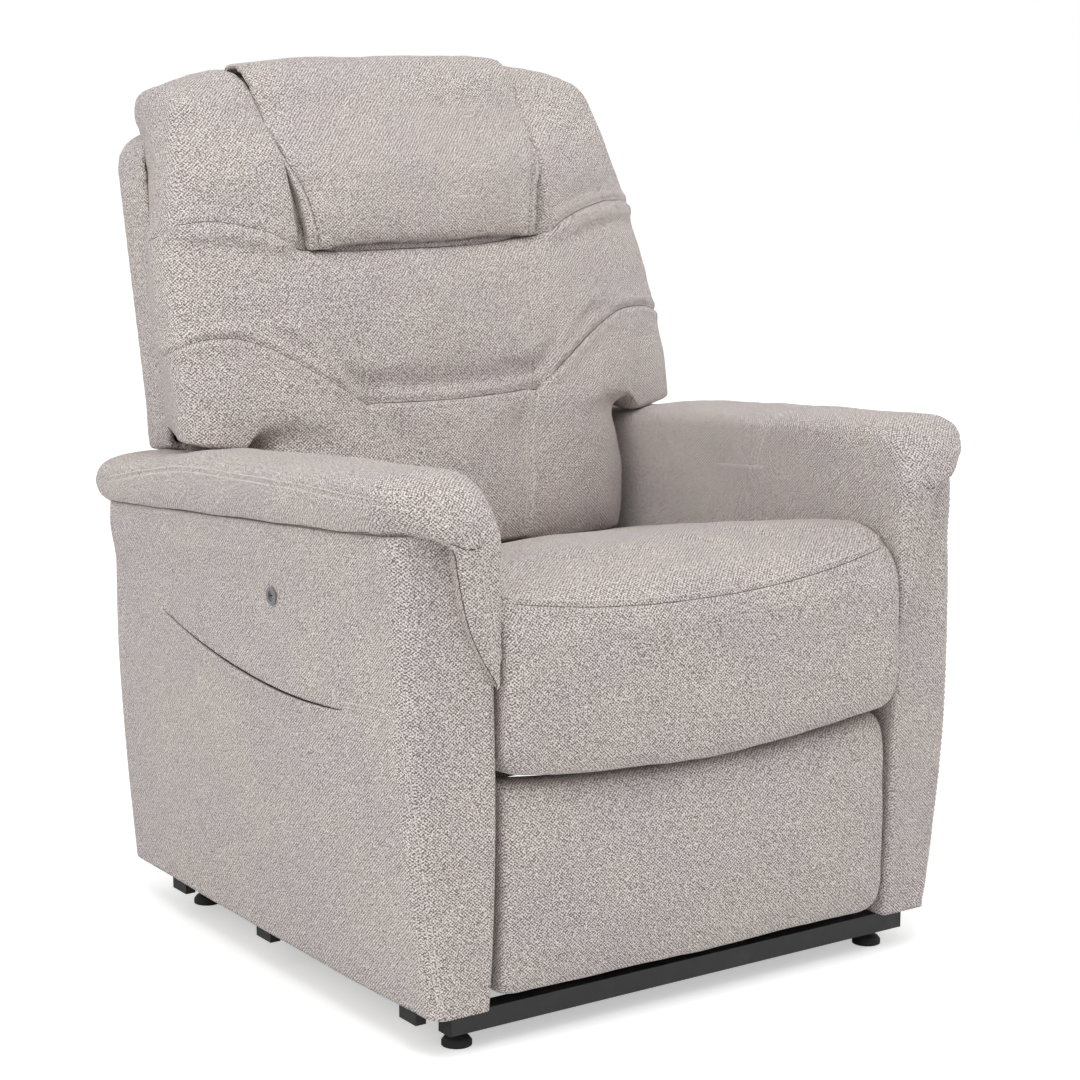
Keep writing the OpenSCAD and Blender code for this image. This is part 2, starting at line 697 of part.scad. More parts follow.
// Cloth pouch behind the pocket mouth, with a collar sewn to the arm's wall
module side_pocket() color(fabric) {
    wall = 1.5;
    face = -arm_out(pocket_z) + arm_wall + 3;
    x1 = face + 12;
    x0 = x1 + pocket_t - 4;
    ya = pocket_y - pocket_l / 2 + 14;
    yb = pocket_y + pocket_l / 2 - 14;
    low = pocket_z - pocket_depth;
    high = pocket_z + 36;
    difference() {
        union() {
            translate([x1, ya, low]) cube([x0 - x1, yb - ya, high - low]);
            translate([face, ya, pocket_z - 14]) cube([x1 - face, yb - ya, high - pocket_z + 14]);
        }
        translate([x1 + wall, ya + wall, low + wall])
            cube([x0 - x1 - 2 * wall, yb - ya - 2 * wall, high - low - 2 * wall]);
        translate([face + wall, ya + wall, pocket_z - 14 + wall])
            cube([x1 - face, yb - ya - 2 * wall, high - pocket_z + 14 - 2 * wall]);
        pocket_slot();
    }
}

module usb_bezel() color([0.45, 0.45, 0.47]) {
    p = [-usb_front, usb_z];
    difference() {
        union() {
            rod_x(p, -usb_x - 2.5, -usb_x - 0.3, 11);
            rod_x(p, -usb_x - 1, -usb_x + 16, usb_r);
        }
        rod_x(p, -usb_x - 4, -usb_x + 18, usb_r - 2);
    }
}

module usb_socket() color(black) {
    p = [-usb_front, usb_z];
    difference() {
        rod_x(p, -usb_x - 1, -usb_x + 15, usb_r - 2 - fit);
        slab(-usb_x - 2, -usb_x + 8) translate(p) square([4.6, 11], center = true);
    }
    slab(-usb_x + 0.5, -usb_x + 9) translate(p) square([1.6, 9], center = true);
}

glide_y = [-353, -13, 214];
module arm_glides() color(black) both()
    for (y = glide_y) {
        translate([arm_low_out - 17, y - 18, arm_low_z - 14]) cube([14, 36, 14]);
    }

module arm_bolts() color(zinc) both()
    for (p = bolt_places) {
        rod_x(p, plate_x - 4, plate_x, 6.5, $fn = 6);
        rod_x(p, plate_x - 1, bay - gap, bolt_r);
    }

module seat_cross_rails() color(timber) {
    w = 2 * plate_x;
    translate([-plate_x, rail_front_y, rail_low]) cube([w, rail_t, rail_top - rail_low]);
    translate([-plate_x, rear_rail_y, rail_low]) cube([w, rail_t, rail_top - rail_low]);
}

module seat_side_rails() color(timber) both()
    translate([plate_x - rail_t, rail_front_y + rail_t, rail_low])
        cube([rail_t, rear_rail_y - rail_front_y - rail_t, rail_top - rail_low]);

spring_wire = 3.6;
module seat_springs() color(zinc)
    for (k = [-2:2])
        translate([k * 104, rail_front_y + 4, rail_top])
            linear_extrude(spring_wire)
                sinuous(rear_rail_y + rail_t - rail_front_y - 8, 52, 26, spring_wire);

// Seat cushion: outline of a slice across the seat, from the side
seat_half = bay - seat_side_gap;
seat_low = rail_top + spring_wire + gap;
function crease(x) = crease_z + crease_rise * pow(x / 280, 2);
function seat_top(y) = lookup(y, [[-350, seat_crown_z], [-250, seat_crown_z - 15], [-100, 508],
    [60, seat_rear_z + 8], [90, seat_rear_z], [150, seat_rear_z - 14]]);
function seat_ring(x, e) =
    let (
        top_y = -350,
        roll = 92,
        flank = 470,
        zc = crease(x),
        sag = 8 * (1 - pow(x / seat_half, 2)),
        crown = 7 * (1 - pow(x / seat_half, 2))
    )
    [
        [x, rail_front_y - gap - 1, zc + 3 + e], [x, rail_front_y - gap, seat_low - 4 + 0.3 * e],
        [x, rail_front_y + 2, seat_low + 0.3 * e], [x, 0, seat_low + e], [x, 158 - e, seat_low + e],
        [x, 166 - e, seat_low + 30], [x, 166 - e, 430], [x, 158 - e, 452 - e],
        for (y = [140, 90, 20, -60, -130, -190, -250, -300])
            [x, y, seat_top(y) - e + crown * smooth((120 - y) / 150)],
        for (a = [0:15:75])
            [x, top_y - (roll - e) * sin(a), flank + (seat_top(top_y) - sag - e - flank) * cos(a)],
        [x, -seat_front + 1 + e, flank - 10], [x, -seat_front + e, 420], [x, -seat_front - 1 + e, 390],
        [x, -seat_front + e, 360], [x, -seat_front + 3 + e, zc + 22], [x, -seat_front + 10 + e, zc + 8 + e],
        [x, -seat_front + 24 + e, zc + 1 + e], [x, -seat_front + 50, zc + e], [x, -375, zc + 1 + e]
    ];
module seat_cushion() color(fabric) skin([
    for (u = [-1, -0.995, -0.975, -0.94, -0.86, -0.74, -0.6, -0.45, -0.3, -0.15, 0,
              0.15, 0.3, 0.45, 0.6, 0.74, 0.86, 0.94, 0.975, 0.995, 1])
        seat_ring(seat_half * u, 16 * (1 - sqrt(max(0, 1 - pow(max(0, abs(u) - 0.93) / 0.0702, 2)))))
]);

module rear_panel() color(fabric)
    translate([-bay + gap, panel_y, panel_low]) cube([2 * (bay - gap), panel_t, panel_top - panel_low]);

module actuator_brackets() color(steel) {
    for (s = [-1, 1]) {
        slab(leg_act_x + (s > 0 ? 5 : -5 - tab_t), leg_act_x + (s > 0 ? 5 + tab_t : -5)) {
            disc(leg_act, 11);
            polygon([leg_act + [-11, 0], [cross_rear_y, cross_rear_z + tube_a],
                [cross_rear_y + tube_a, cross_rear_z + tube_a], leg_act + [11, 0]]);
        }
        slab(recline_act_x + (s > 0 ? 5 : -5 - tab_t), recline_act_x + (s > 0 ? 5 + tab_t : -5)) {
            disc(recline_act, 11);
            polygon([recline_act + [-11, 0], recline_act + [11, 0],
                [cross_front_y + tube_a, cross_front_z], [cross_front_y, cross_front_z]]);
        }
    }
    rod_x(leg_act, leg_act_x - 10, leg_act_x + 10, 5);
    rod_x(recline_act, recline_act_x - 10, recline_act_x + 10, 5);
}

// ---- backrest -------------------------------------------------------------
back_ref = [352, 597];
slope = tan(back_slope);
shell_low = -272;
shell_high = 415;
frame_front = -back_shell_t + 3.9;
frame_lift = 10;
function shell_front(z) = back_ref[0] + (z - back_ref[1]) * slope - back_shell_t / cos(back_slope);
function post_front(z) = back_ref[0] + (z - back_ref[1]) * slope + frame_front / cos(back_slope);
module in_back() translate([0, back_ref[0], back_ref[1]]) rotate([-back_slope, 0, 0]) children();

post_x = 238;
post_w = 24;
module back_brackets() color(steel) both()
    slab(post_x + post_w, post_x + post_w + plate_t) difference() {
        union() {
            disc(pivot_recline, 19);
            polygon([pivot_recline + [-19, 0], pivot_recline + [4, -19], [post_front(372) + 8, 372],
                [post_front(372) + 20, 372], [post_front(540) + 22, 540], [post_front(540) + 1, 540],
                [post_front(480) + 2, 480], [post_front(455) - 10, 455], pivot_recline + [0, 19]]);
        }
        disc(pivot_recline, 8 + fit);
    }

frame_deep = -12 - gap - frame_front;
frame_low = shell_low + frame_lift;
module back_posts() color(timber) in_back() both() {
    translate([post_x, frame_front, frame_low]) cube([post_w, frame_deep, shell_high - shell_low - 24]);
    translate([post_x + post_w, frame_front + 4, 90]) cube([32, 22, shell_high - 150]);
}

module back_rails() color(timber) in_back()
    for (p = [[frame_low, 30], [40, 30], [shell_high - 54, 40]])
        translate([-post_x, frame_front, p[0]]) cube([2 * post_x, frame_deep, p[1]]);

module back_springs() color(zinc) in_back()
    for (k = [0:4])
        translate([-post_x - 10, frame_front, -180 + k * 46 + (k > 3 ? 70 : 0)])
            rotate([90, 0, 0]) rotate([0, 0, -90])
                linear_extrude(spring_wire) sinuous(2 * post_x + 20, 34, 26, spring_wire);

// Front of the back cushion on the middle line for each height, up to the roll
roll_z = back_top_z - 70;
roll_y = 313;
roll_depth = 91;
function back_front(z) = lookup(z, [[478, 118], [500, 104], [540, 98], [600, 99], [660, 108], [700, 119],
    [780, 144], [866, 178], [950, 198], [roll_z, roll_y - roll_depth]]);
// Height where the back widens over the arms, into wings that flare towards the front
wing_low = 637;
function wing(z) = smooth((z - wing_low) / 21);
function back_half(z) =
    z < wing_low ? mix(bay - 14, bay - 9, clamp((z - 478) / 80))
    : mix(bay - 9, back_wide, wing(z)) - 20 * smooth((z - 720) / 340);
function flare(z, u) =
    back_flare * wing(z) * (1 - pow(clamp((z - 742) / 330), 2.5)) * smooth((u - 0.6) / 0.4);
// Heights of the two sewn channels across the back
function channel_1(x) = 866 + 26 * smooth((abs(x) - 180) / 120);
function channel_2(x) = 688 + 92 * smooth((abs(x) - 120) / 130);
// Places of the upright seams and of the pillow's edges, as shares of the half width
function seam_at(z) = lookup(z, [[500, 0.30], [690, 0.37], [866, 0.46], [900, 0.42]]);
function pillow_at(z) = lookup(z, [[500, 0.56], [866, 0.54], [back_top_z, 0.61]]);
back_cols = [0, 0.13, 0.24, -1, -2, -3, -4, -5, 0.7, 0.79, 0.87, 0.93, 0.975, 1];
function column(k, z) =
    k == 3 ? seam_at(z) - 0.05 : k == 4 ? seam_at(z) : k == 5 ? seam_at(z) + 0.05
    : k == 6 ? pillow_at(z) : k == 7 ? pillow_at(z) + 0.03 : back_cols[k];

pillow_bed = 24;
bed_low = 870;
// Depth of the cushion's front at column k: channels, seams and the pillow's bed
function pressed(k, x, z) =
    channel_d * groove(z - channel_1(x), 13) * (k < 7 ? 1 : 0.6)
    + channel_d * groove(z - channel_2(x), 13)
    + (k == 4 && z < bed_low ? 6 : 0)
    + (k <= 6 ? pillow_bed * clamp((z - bed_low) / 6) : 0);
function side_round(u) = 52 * (1 - sqrt(1 - 0.999 * pow(u, 4)));
// Half height and half depth of the roll over the top
function roll_up(k, u) = k <= 6 ? 70 - pillow_bed : 58 - 28 * pow((u - 0.6) / 0.4, 2);
function roll_in(k, u) = (k <= 6 ? roll_depth - pillow_bed : roll_depth - 4) - side_round(u) * 0.6;

// One slice of the back cushion at column k, s says which side; e rounds its edge
function back_slice(k, s, e) =
    let (
        u0 = column(k, 690),
        x0 = back_half(690) * u0,
        c1 = channel_1(x0),
        c2 = channel_2(x0),
        fronts = [
            for (z = [1000, 950, c1 + 44, c1 + 22, c1 + 9, c1, c1 - 9, c1 - 24, (c1 + c2) / 2,
                c2 + 24, c2 + 9, c2, c2 - 9, c2 - 22]) z,
            for (i = [0:4]) min(c2 - 24 - 5 * i, wing_low + [36, 21, 12, 5, 0][i]),
            for (q = [0.25, 0.52, 0.76, 0.92]) mix(wing_low, 486, q)
        ],
        rear = function (z) shell_front(z) - 1.1 * gap - e
    )
    [
        [s * back_half(480) * u0, back_front(480) + 26 + e + side_round(u0), 479],
        [s * back_half(480) * u0, rear(480), 478 + e * 0.5],
        for (z = [560, wing_low, wing_low + 6, wing_low + 13, wing_low + 21, 720, 820, 950, 1017])
            [s * (back_half(z) - e * 0.4) * column(k, z), rear(z), z],
        let (z = 1022) [s * back_half(z) * column(k, z), shell_front(z) + 8 - e, z],
        for (a = [180, 155, 130, 105, 80, 55, 30, 10])
            let (
                z = roll_z + (roll_up(k, u0) - e * 0.5) * sin(a),
                u = column(k, z),
                y = roll_y + side_round(u) * 0.4 - roll_in(k, u) * cos(a)
            )
            [s * (back_half(z) * u + flare(z, u) * (1 + cos(a)) / 2), y + e * cos(a), z],
        for (z = fronts)
            let (u = column(k, z), x = back_half(z) * u + flare(z, u))
            [s * x, back_front(z) + pressed(k, x, z) + side_round(u) + e, z]
    ];
back_slices = [for (i = [0:26]) let (k = abs(i - 13)) [k, i < 13 ? -1 : 1, k == 13 ? 12 : k == 12 ? 3 : 0]];
module back_cushion() color(fabric)
    skin([for (b = back_slices) back_slice(b[0], b[1], b[2])], "rungs");

// Head pillow: lies in its bed and rolls over the top
function pillow_slice(w) =
    let (
        edge = pow(abs(w), 5),
        t = 1 - 0.45 * edge,
        low = bed_low + 8,
        seat_in = 0.8,
        at = function (z, out) let (u = pillow_at(z) * w)
            [back_half(z) * u, back_front(z) + pillow_bed + side_round(u) - seat_in - out, z],
        over = function (a, out)
            let (
                z = roll_z + (70 - pillow_bed + seat_in + out) * sin(a),
                u = pillow_at(z) * w
            )
            [back_half(z) * u,
                roll_y + side_round(u) * 0.4
                    - (roll_depth - pillow_bed - side_round(u) * 0.6 + seat_in + out) * cos(a), z]
    )
    [
        for (z = [low, 888, 910, 950, 1000]) at(z, 0),
        for (a = [10, 30, 55, 80, 105, 130, 155]) over(a, 0),
        over(166, 6 * t),
        for (p = [[155, 12], [130, 18], [105, 22], [80, 24], [55, 26], [30, 29], [10, 31]]) over(p[0], p[1] * t),
        for (p = [[1000, 33], [950, 35], [916, 36], [893, 32], [880, 22], [low - 3, 9]]) at(p[0], p[1] * t)
    ];
module head_pillow() color(fabric)
    skin([for (w = [-0.985, -0.96, -0.9, -0.78, -0.6, -0.4, -0.2, 0, 0.2, 0.4, 0.6, 0.78, 0.9, 0.96, 0.985])
        pillow_slice(w)], "ladder");

// Rear shell of the back: a tray, open to the front
tray_low_w = plate_x - 1.5;
// Place along the tray where it widens, above the arms
tray_step = 14;
function shell_outline(w, g) = [
    for (a = [180:30:270]) [-tray_low_w + 22 + (22 - g) * cos(a), shell_low + 22 + (22 - g) * sin(a)],
    for (a = [270:30:360]) [tray_low_w - 22 + (22 - g) * cos(a), shell_low + 22 + (22 - g) * sin(a)],
    [tray_low_w - g, tray_step + g], [w - g, tray_step + 12 + g],
    for (a = [0:22.5:90]) [w - 45 + (45 - g) * cos(a), shell_high - 45 + (45 - g) * sin(a)],
    for (a = [90:22.5:180]) [-w + 45 + (45 - g) * cos(a), shell_high - 45 + (45 - g) * sin(a)],
    [-w + g, tray_step + 12 + g], [-tray_low_w + g, tray_step + g]
];
function shell_ring(g, depth) = [for (p = shell_outline(back_shell_w, g)) [p[0], depth, p[1]]];
module outer_back() color(fabric) in_back() skin([
    shell_ring(14, 0),
    shell_ring(6, -1.5),
    shell_ring(1.5, -7),
    shell_ring(0, -16),
    shell_ring(0, -back_shell_t),
    shell_ring(8, -back_shell_t),
    shell_ring(8, -12)
]);

function to_back(p) =
    let (d = p - back_ref)
    [d[0] * cos(back_slope) - d[1] * sin(back_slope), d[0] * sin(back_slope) + d[1] * cos(back_slope)];
module recline_lever() color(steel) {
    pin = to_back(recline_crank);
    face = frame_front - gap;
    rail = shell_low + frame_lift;
    in_back() for (s = [-1, 1])
        slab(recline_act_x + (s > 0 ? tab_in : -tab_in - tab_t),
            recline_act_x + (s > 0 ? tab_in + tab_t : -tab_in)) {
            disc(pin, 10);
            polygon([pin + [0, -10], pin + [2, 10], [-back_shell_t - 1, pin[1] + 10],
                [-back_shell_t - 1, rail], [face, rail], [face, rail + 28],
                [face - 20, rail + 28], [face - 20, rail - 14]]);
        }
    rod_x(recline_crank, recline_act_x - tab_in - tab_t, recline_act_x + tab_in + tab_t, crank_pin_r);
}

// ---- footrest -------------------------------------------------------------
link_r = 11;
module legrest_rear_links() color(steel) both() {
    slab(leg_c, leg_c + link_t) difference() {
        bar(pivot_leg, pivot_knee + drop, link_r);
        disc(pivot_leg, leg_pin_r + fit);
    }
    rod_x(pivot_knee, leg_c, leg_b + link_t, leg_pin_r);
    rod_x(pivot_knee + drop, leg_d, leg_c + link_t, leg_pin_r);
}

module legrest_torque_tube() color(steel) {
    rod_x(pivot_leg, -leg_c, leg_c, 10);
    crank(pivot_leg, leg_crank, leg_act_x);
}

module legrest_front_links() color(steel) both()
    slab(leg_b, leg_b + link_t) difference() {
        bar(pivot_knee - 25 * front_dir, pivot_board, link_r);
        disc(pivot_knee, leg_pin_r + fit);
        disc(pivot_board, leg_pin_r + fit);
    }

module legrest_guide_links() color(steel) both() {
    slab(leg_a, leg_a + link_t) difference() {
        bar(pivot_leg_guide, pivot_guide_end, 10);
        disc(pivot_leg_guide, leg_pin_r + fit);
    }
}

module legrest_board_links() color(steel) both()
    slab(leg_d, leg_d + link_t) difference() {
        bar(pivot_knee + drop, pivot_board + drop, link_r - 1.5);
        disc(pivot_knee + drop, leg_pin_r + fit);
        disc(pivot_board + drop, leg_pin_r + fit);
    }

module legrest_brackets() color(steel) both() {
    slab(leg_c, leg_c + link_t)
        polygon([pivot_board + [11, 6], pivot_board + [4, 14], [board_back_y, board_pivot_z + 30],
            [board_back_y, board_pivot_z - knee_drop - 30], pivot_board + drop + [4, -14],
            pivot_board + drop + [11, -6]]);
    rod_x(pivot_board, leg_c, leg_b + link_t, leg_pin_r);
    rod_x(pivot_board + drop, leg_d, leg_c + link_t, leg_pin_r);
    translate([leg_c - 20, board_back_y, board_pivot_z - knee_drop - 30])
        cube([20 + link_t, 2, knee_drop + 60]);
}

module legrest_board() color(timber)
    translate([-footrest_half + 14, board_back_y - board_t, footrest_low_z + 14])
        cube([2 * footrest_half - 28, board_t, crease_z - 24 - footrest_low_z]);

// Footrest pad: outline of a slice from the side
function rest_ring(x, e) =
    let (
        top = crease(x) - 5,
        back = board_back_y - board_t - gap,
        front = -footrest_front + e,
        low = footrest_low_z + e
    )
    [
        [x, back - 24, low], [x, back - 8, low + 1], [x, back, low + 8],
        [x, back, mix(low, top, 0.3)], [x, back, mix(low, top, 0.7)],
        [x, back, top - 10 - e], [x, back - 8, top - 2 - e], [x, back - 24, top - e],
        for (a = [0:30:90]) [x, front + 26 - 26 * sin(a), top - e - 26 + 26 * cos(a)],
        for (q = [0.25, 0.5, 0.75]) [x, front - 4 * sin(180 * q), mix(top - e - 26, low + 26, q)],
        for (a = [0:30:90]) [x, front + 26 - 26 * cos(a), low + 26 - 26 * sin(a)]
    ];
module legrest_pad() color(fabric) skin([
    for (u = [-1, -0.99, -0.96, -0.9, -0.75, -0.5, -0.25, 0, 0.25, 0.5, 0.75, 0.9, 0.96, 0.99, 1])
        rest_ring(footrest_half * u, 12 * (1 - sqrt(max(0, 1 - pow(max(0, abs(u) - 0.92) / 0.0802, 2)))))
]);

base_front_tube();
base_rear_tube();
base_mid_tube();
base_side_tubes();
base_end_caps();
base_rest_pads();
lift_pivot_brackets();
levelling_feet();
foot_nuts();
lift_motor_bracket();
power_supply();
power_inlet();
lift_arms();
lift_torque_tube();
lift_guide_links();
lift_motor();
lift_motor_tube();
lift_rod();
chassis_side_plates();
chassis_cross_tubes();
lift_plates();
left_arm_shell();
right_arm_shell();
arm_frames();
left_arm_pad();
right_arm_pad();
side_pocket();
usb_bezel();
usb_socket();
arm_glides();
arm_bolts();
seat_cross_rails();
seat_side_rails();
seat_springs();
seat_cushion();
rear_panel();
actuator_brackets();
back_brackets();
back_posts();
back_rails();
back_springs();
back_cushion();
head_pillow();
outer_back();
recline_lever();
recline_motor();
recline_motor_tube();
recline_rod();
legrest_rear_links();
legrest_torque_tube();
legrest_front_links();
legrest_guide_links();
legrest_board_links();
legrest_brackets();
legrest_board();
legrest_pad();
legrest_motor();
legrest_motor_tube();
legrest_rod();
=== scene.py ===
import json
import math

import bmesh
import bpy
import numpy as np
from mathutils import Matrix, Vector, noise
from mathutils.bvhtree import BVHTree
from mathutils.kdtree import KDTree


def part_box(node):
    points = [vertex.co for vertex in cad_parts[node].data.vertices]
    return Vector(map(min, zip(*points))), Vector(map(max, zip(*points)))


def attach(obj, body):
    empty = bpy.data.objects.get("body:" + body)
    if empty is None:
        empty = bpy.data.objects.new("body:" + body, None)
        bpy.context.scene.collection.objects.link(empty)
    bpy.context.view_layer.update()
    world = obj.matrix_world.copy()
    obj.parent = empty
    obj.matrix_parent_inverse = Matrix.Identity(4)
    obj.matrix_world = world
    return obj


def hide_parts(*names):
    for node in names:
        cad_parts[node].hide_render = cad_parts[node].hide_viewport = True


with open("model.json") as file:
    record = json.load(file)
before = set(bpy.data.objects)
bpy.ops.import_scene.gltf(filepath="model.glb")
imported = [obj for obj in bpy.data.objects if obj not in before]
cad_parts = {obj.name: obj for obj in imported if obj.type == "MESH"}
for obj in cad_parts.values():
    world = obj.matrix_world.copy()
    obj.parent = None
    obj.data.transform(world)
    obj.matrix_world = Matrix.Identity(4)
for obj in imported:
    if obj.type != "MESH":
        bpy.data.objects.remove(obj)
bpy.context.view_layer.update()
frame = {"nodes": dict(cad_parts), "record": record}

bl_info = {
    "name": "Lift Recliner Chair",
    "version": (1, 0, 0),
    "blender": (4, 5, 0),
    "location": "View3D > Sidebar > Lift Chair",
    "description": "Upholsters a lift recliner chair round its steel and timber frame",
    "category": "Add Mesh",
}

MM = 0.001
BACK_SLOPE = math.radians(11.9)
CHANNEL = 14 * MM


# ---------------------------------------------------------------- properties
def length(name, description, default, low=0, high=1000):
    """A length, whose default and limits are given in millimetres"""
    return bpy.props.FloatProperty(
        name=name, description=description, default=default * MM, min=low * MM, max=high * MM,
        unit="LENGTH", precision=4)


def colour(name, description, default):
    return bpy.props.FloatVectorProperty(
        name=name, description=description, default=default, size=3, min=0.0, max=1.0,
        subtype="COLOR")


class ChairCloth(bpy.types.PropertyGroup):
    base: colour("Cloth", "Main colour of the woven cloth", (0.515, 0.455, 0.43))
    light: colour("Light yarn", "Colour of the light flecks", (0.90, 0.85, 0.82))
    dark: colour("Dark yarn", "Colour of the dark flecks", (0.19, 0.15, 0.14))
    lining: colour("Lining", "Colour of the pocket lining", (0.30, 0.27, 0.26))
    thread: colour("Thread", "Colour of the sewing thread", (0.80, 0.75, 0.71))
    yarn: length("Yarn pitch", "Distance between neighbouring yarns", 2.3, 1, 10)
    nap: length("Nap height", "Height of the yarns in the relief", 0.55, 0.1, 10)


class ChairSewing(bpy.types.PropertyGroup):
    stitch: length("Stitch", "Length of one stitch", 5.0, 2, 20)
    pitch: length("Stitch pitch", "Distance from stitch to stitch", 7.2, 3, 20)
    thread_r: length("Thread radius", "Radius of the sewing thread", 0.75, 0.2, 5)
    # Half width of the painted shadow cords laid in seams and joints
    shadow_line_r: length("Shadow line radius", "Half width of the dark line in a seam", 0.6, 0.2, 5)
    double: length("Double seam", "Distance between the two rows of a double seam", 9.0, 4, 20)
    seam_w: length("Seam width", "Width of a plain seam's valley", 2.6, 1, 20)


class ChairPadding(bpy.types.PropertyGroup):
    grain: length("Mesh size", "Size of a quad before the cloth is swelled", 6.0, 3, 20)
    fine: length("Fine mesh size", "The same on the smaller pads", 5.0, 3, 20)
    pressure: bpy.props.FloatProperty(
        name="Pressure", description="Pressure that swells a cushion", default=4.0, min=0, max=20)
    cap: length("Largest swell", "Farthest that a point may move as a cushion swells", 12, 2, 50)
    slack: length("Slack", "How much smaller a cushion is before it swells", 5, 0, 20)
    frames: bpy.props.IntProperty(
        name="Steps", description="Steps of the swelling", default=16, min=2, max=40)


class ChairArm(bpy.types.PropertyGroup):
    low_out: length("Lower half width", "Half width of the chair at the arm's lower edge", 375)
    swell: length("Swell", "How far the outer side swells", 35)
    swell_z: length("Swell height", "Height of the widest part", 460)
    front: length("Front", "Distance of the arm's front from the middle, at the floor", 410)
    front_bow: length("Front bow", "How far the inner edge of the front bows out", 16)
    lean: length("Lean", "How far the outer front corner leans back at the top", 16)
    rear: length("Rear", "Distance of the arm's rear from the middle, at its top", 320)
    rear_lean: length("Rear lean", "How much deeper the arm is at the floor", 33)
    top_front: length("Top at the front", "Height of the arm under the pad's front", 604)
    top_rear: length("Top at the rear", "Height of the arm under the pad's rear", 536)
    wall: length("Wall", "Thickness of the padded cloth", 6)
    flush: length("Flush", "How far the outer side swells out to meet the pad", 9)
    lap: length("Lap", "How far the side runs up behind the pad's lower edge", 8)
    mouth: length("Pocket mouth", "Height of the gap into the side pocket", 3.4)


class ChairStudio(bpy.types.PropertyGroup):
    eye: bpy.props.FloatVectorProperty(
        name="Eye", description="Place of the camera", default=(-1.951, -2.940, 1.204),
        subtype="TRANSLATION", unit="LENGTH")
    turn: bpy.props.FloatProperty(
        name="Turn", description="Turn of the camera about the vertical",
        default=math.radians(-34.262), subtype="ANGLE")
    dip: bpy.props.FloatProperty(
        name="Dip", description="How far the camera looks down",
        default=math.radians(11.307), subtype="ANGLE")
    lens: bpy.props.FloatProperty(
        name="Lens", description="Focal length on a 36 mm sensor", default=93.33, unit="CAMERA")
    sky: bpy.props.FloatProperty(
        name="Sky", description="Strength of the soft light all round", default=0.74, min=0)
    key: bpy.props.FloatProperty(
        name="Key lamp", description="Power of the large lamp above the front", default=62, min=0)
    fill: bpy.props.FloatProperty(
        name="Fill lamp", description="Power of the lamp on the right", default=12, min=0)
    side: bpy.props.FloatProperty(
        name="Side lamp", description="Power of the lamp on the left", default=22, min=0)


# ------------------------------------------------------------------ materials
class Value:
    """A number in a material. Python's operators on it add Math nodes."""

    def __init__(self, build, socket):
        self.build, self.socket = build, socket

    def math(self, operation, *values):
        inputs = dict(enumerate((self, *values)))
        return self.build.node("ShaderNodeMath", {"operation": operation}, inputs)

    def __add__(self, other):
        return self.math("ADD", other)

    def __sub__(self, other):
        return self.math("SUBTRACT", other)

    def __rsub__(self, other):
        return (self * -1.0) + other

    def __mul__(self, other):
        return self.math("MULTIPLY", other)

    __radd__, __rmul__ = __add__, __mul__

    def step(self, low, high):
        """0 below low, 1 above high, and smooth between them"""
        return self.build.node(
            "ShaderNodeMapRange", {"interpolation_type": "SMOOTHSTEP"},
            {"Value": self, "From Min": low, "From Max": high})


class Build:
    """Fills a new material, or the world, with nodes"""

    def __init__(self, name, kind="materials"):
        self.owner = getattr(bpy.data, kind).new(name)
        self.owner.use_nodes = True
        self.tree = self.owner.node_tree
        self.tree.nodes.clear()

    def node(self, kind, settings=None, values=None, output=0):
        """Adds a node: first its settings, then the values or links of its sockets"""
        made = self.tree.nodes.new(kind)
        for key, value in (settings or {}).items():
            setattr(made, key, value)
        for key, value in (values or {}).items():
            if isinstance(value, Value):
                self.tree.links.new(value.socket, made.inputs[key])
            else:
                made.inputs[key].default_value = value
        return Value(self, made.outputs[output]) if made.outputs else None

    def outputs(self, value, *keys):
        """More outputs of the node that a value comes from"""
        return [Value(self, value.socket.node.outputs[key]) for key in keys]

    def object_place(self, scale=(1, 1, 1)):
        place = self.node("ShaderNodeTexCoord", output=3)
        return self.node("ShaderNodeMapping", None, {"Vector": place, "Scale": scale})

    def cloth_place(self, scale):
        place = self.node("ShaderNodeUVMap", {"uv_map": "weave"})
        return self.node("ShaderNodeMapping", None, {"Vector": place, "Scale": scale})

    def noise(self, place, scale, detail=2.0, rough=0.5):
        return self.node(
            "ShaderNodeTexNoise", None,
            {"Vector": place, "Scale": scale, "Detail": detail, "Roughness": rough})

    def mix(self, factor, a, b):
        """Colour a where factor is 0 and b where it is 1"""
        a, b = ((*c, 1) if isinstance(c, (tuple, list)) else c for c in (a, b))
        return self.node(
            "ShaderNodeMix", {"data_type": "RGBA"}, {0: factor, 6: a, 7: b}, output=2)

    def bump(self, height, strength, distance):
        return self.node(
            "ShaderNodeBump", None, {"Height": height, "Strength": strength, "Distance": distance})

    def finish(self, **sockets):
        """Ends in a Principled shader; names of sockets are written with underscores"""
        values = {}
        for key, value in sockets.items():
            if isinstance(value, tuple):
                value = (*value, 1)
            values[key.replace("_", " ")] = value
        shader = self.node("ShaderNodeBsdfPrincipled", None, values)
        self.node("ShaderNodeOutputMaterial", None, {"Surface": shader})
        return self.owner


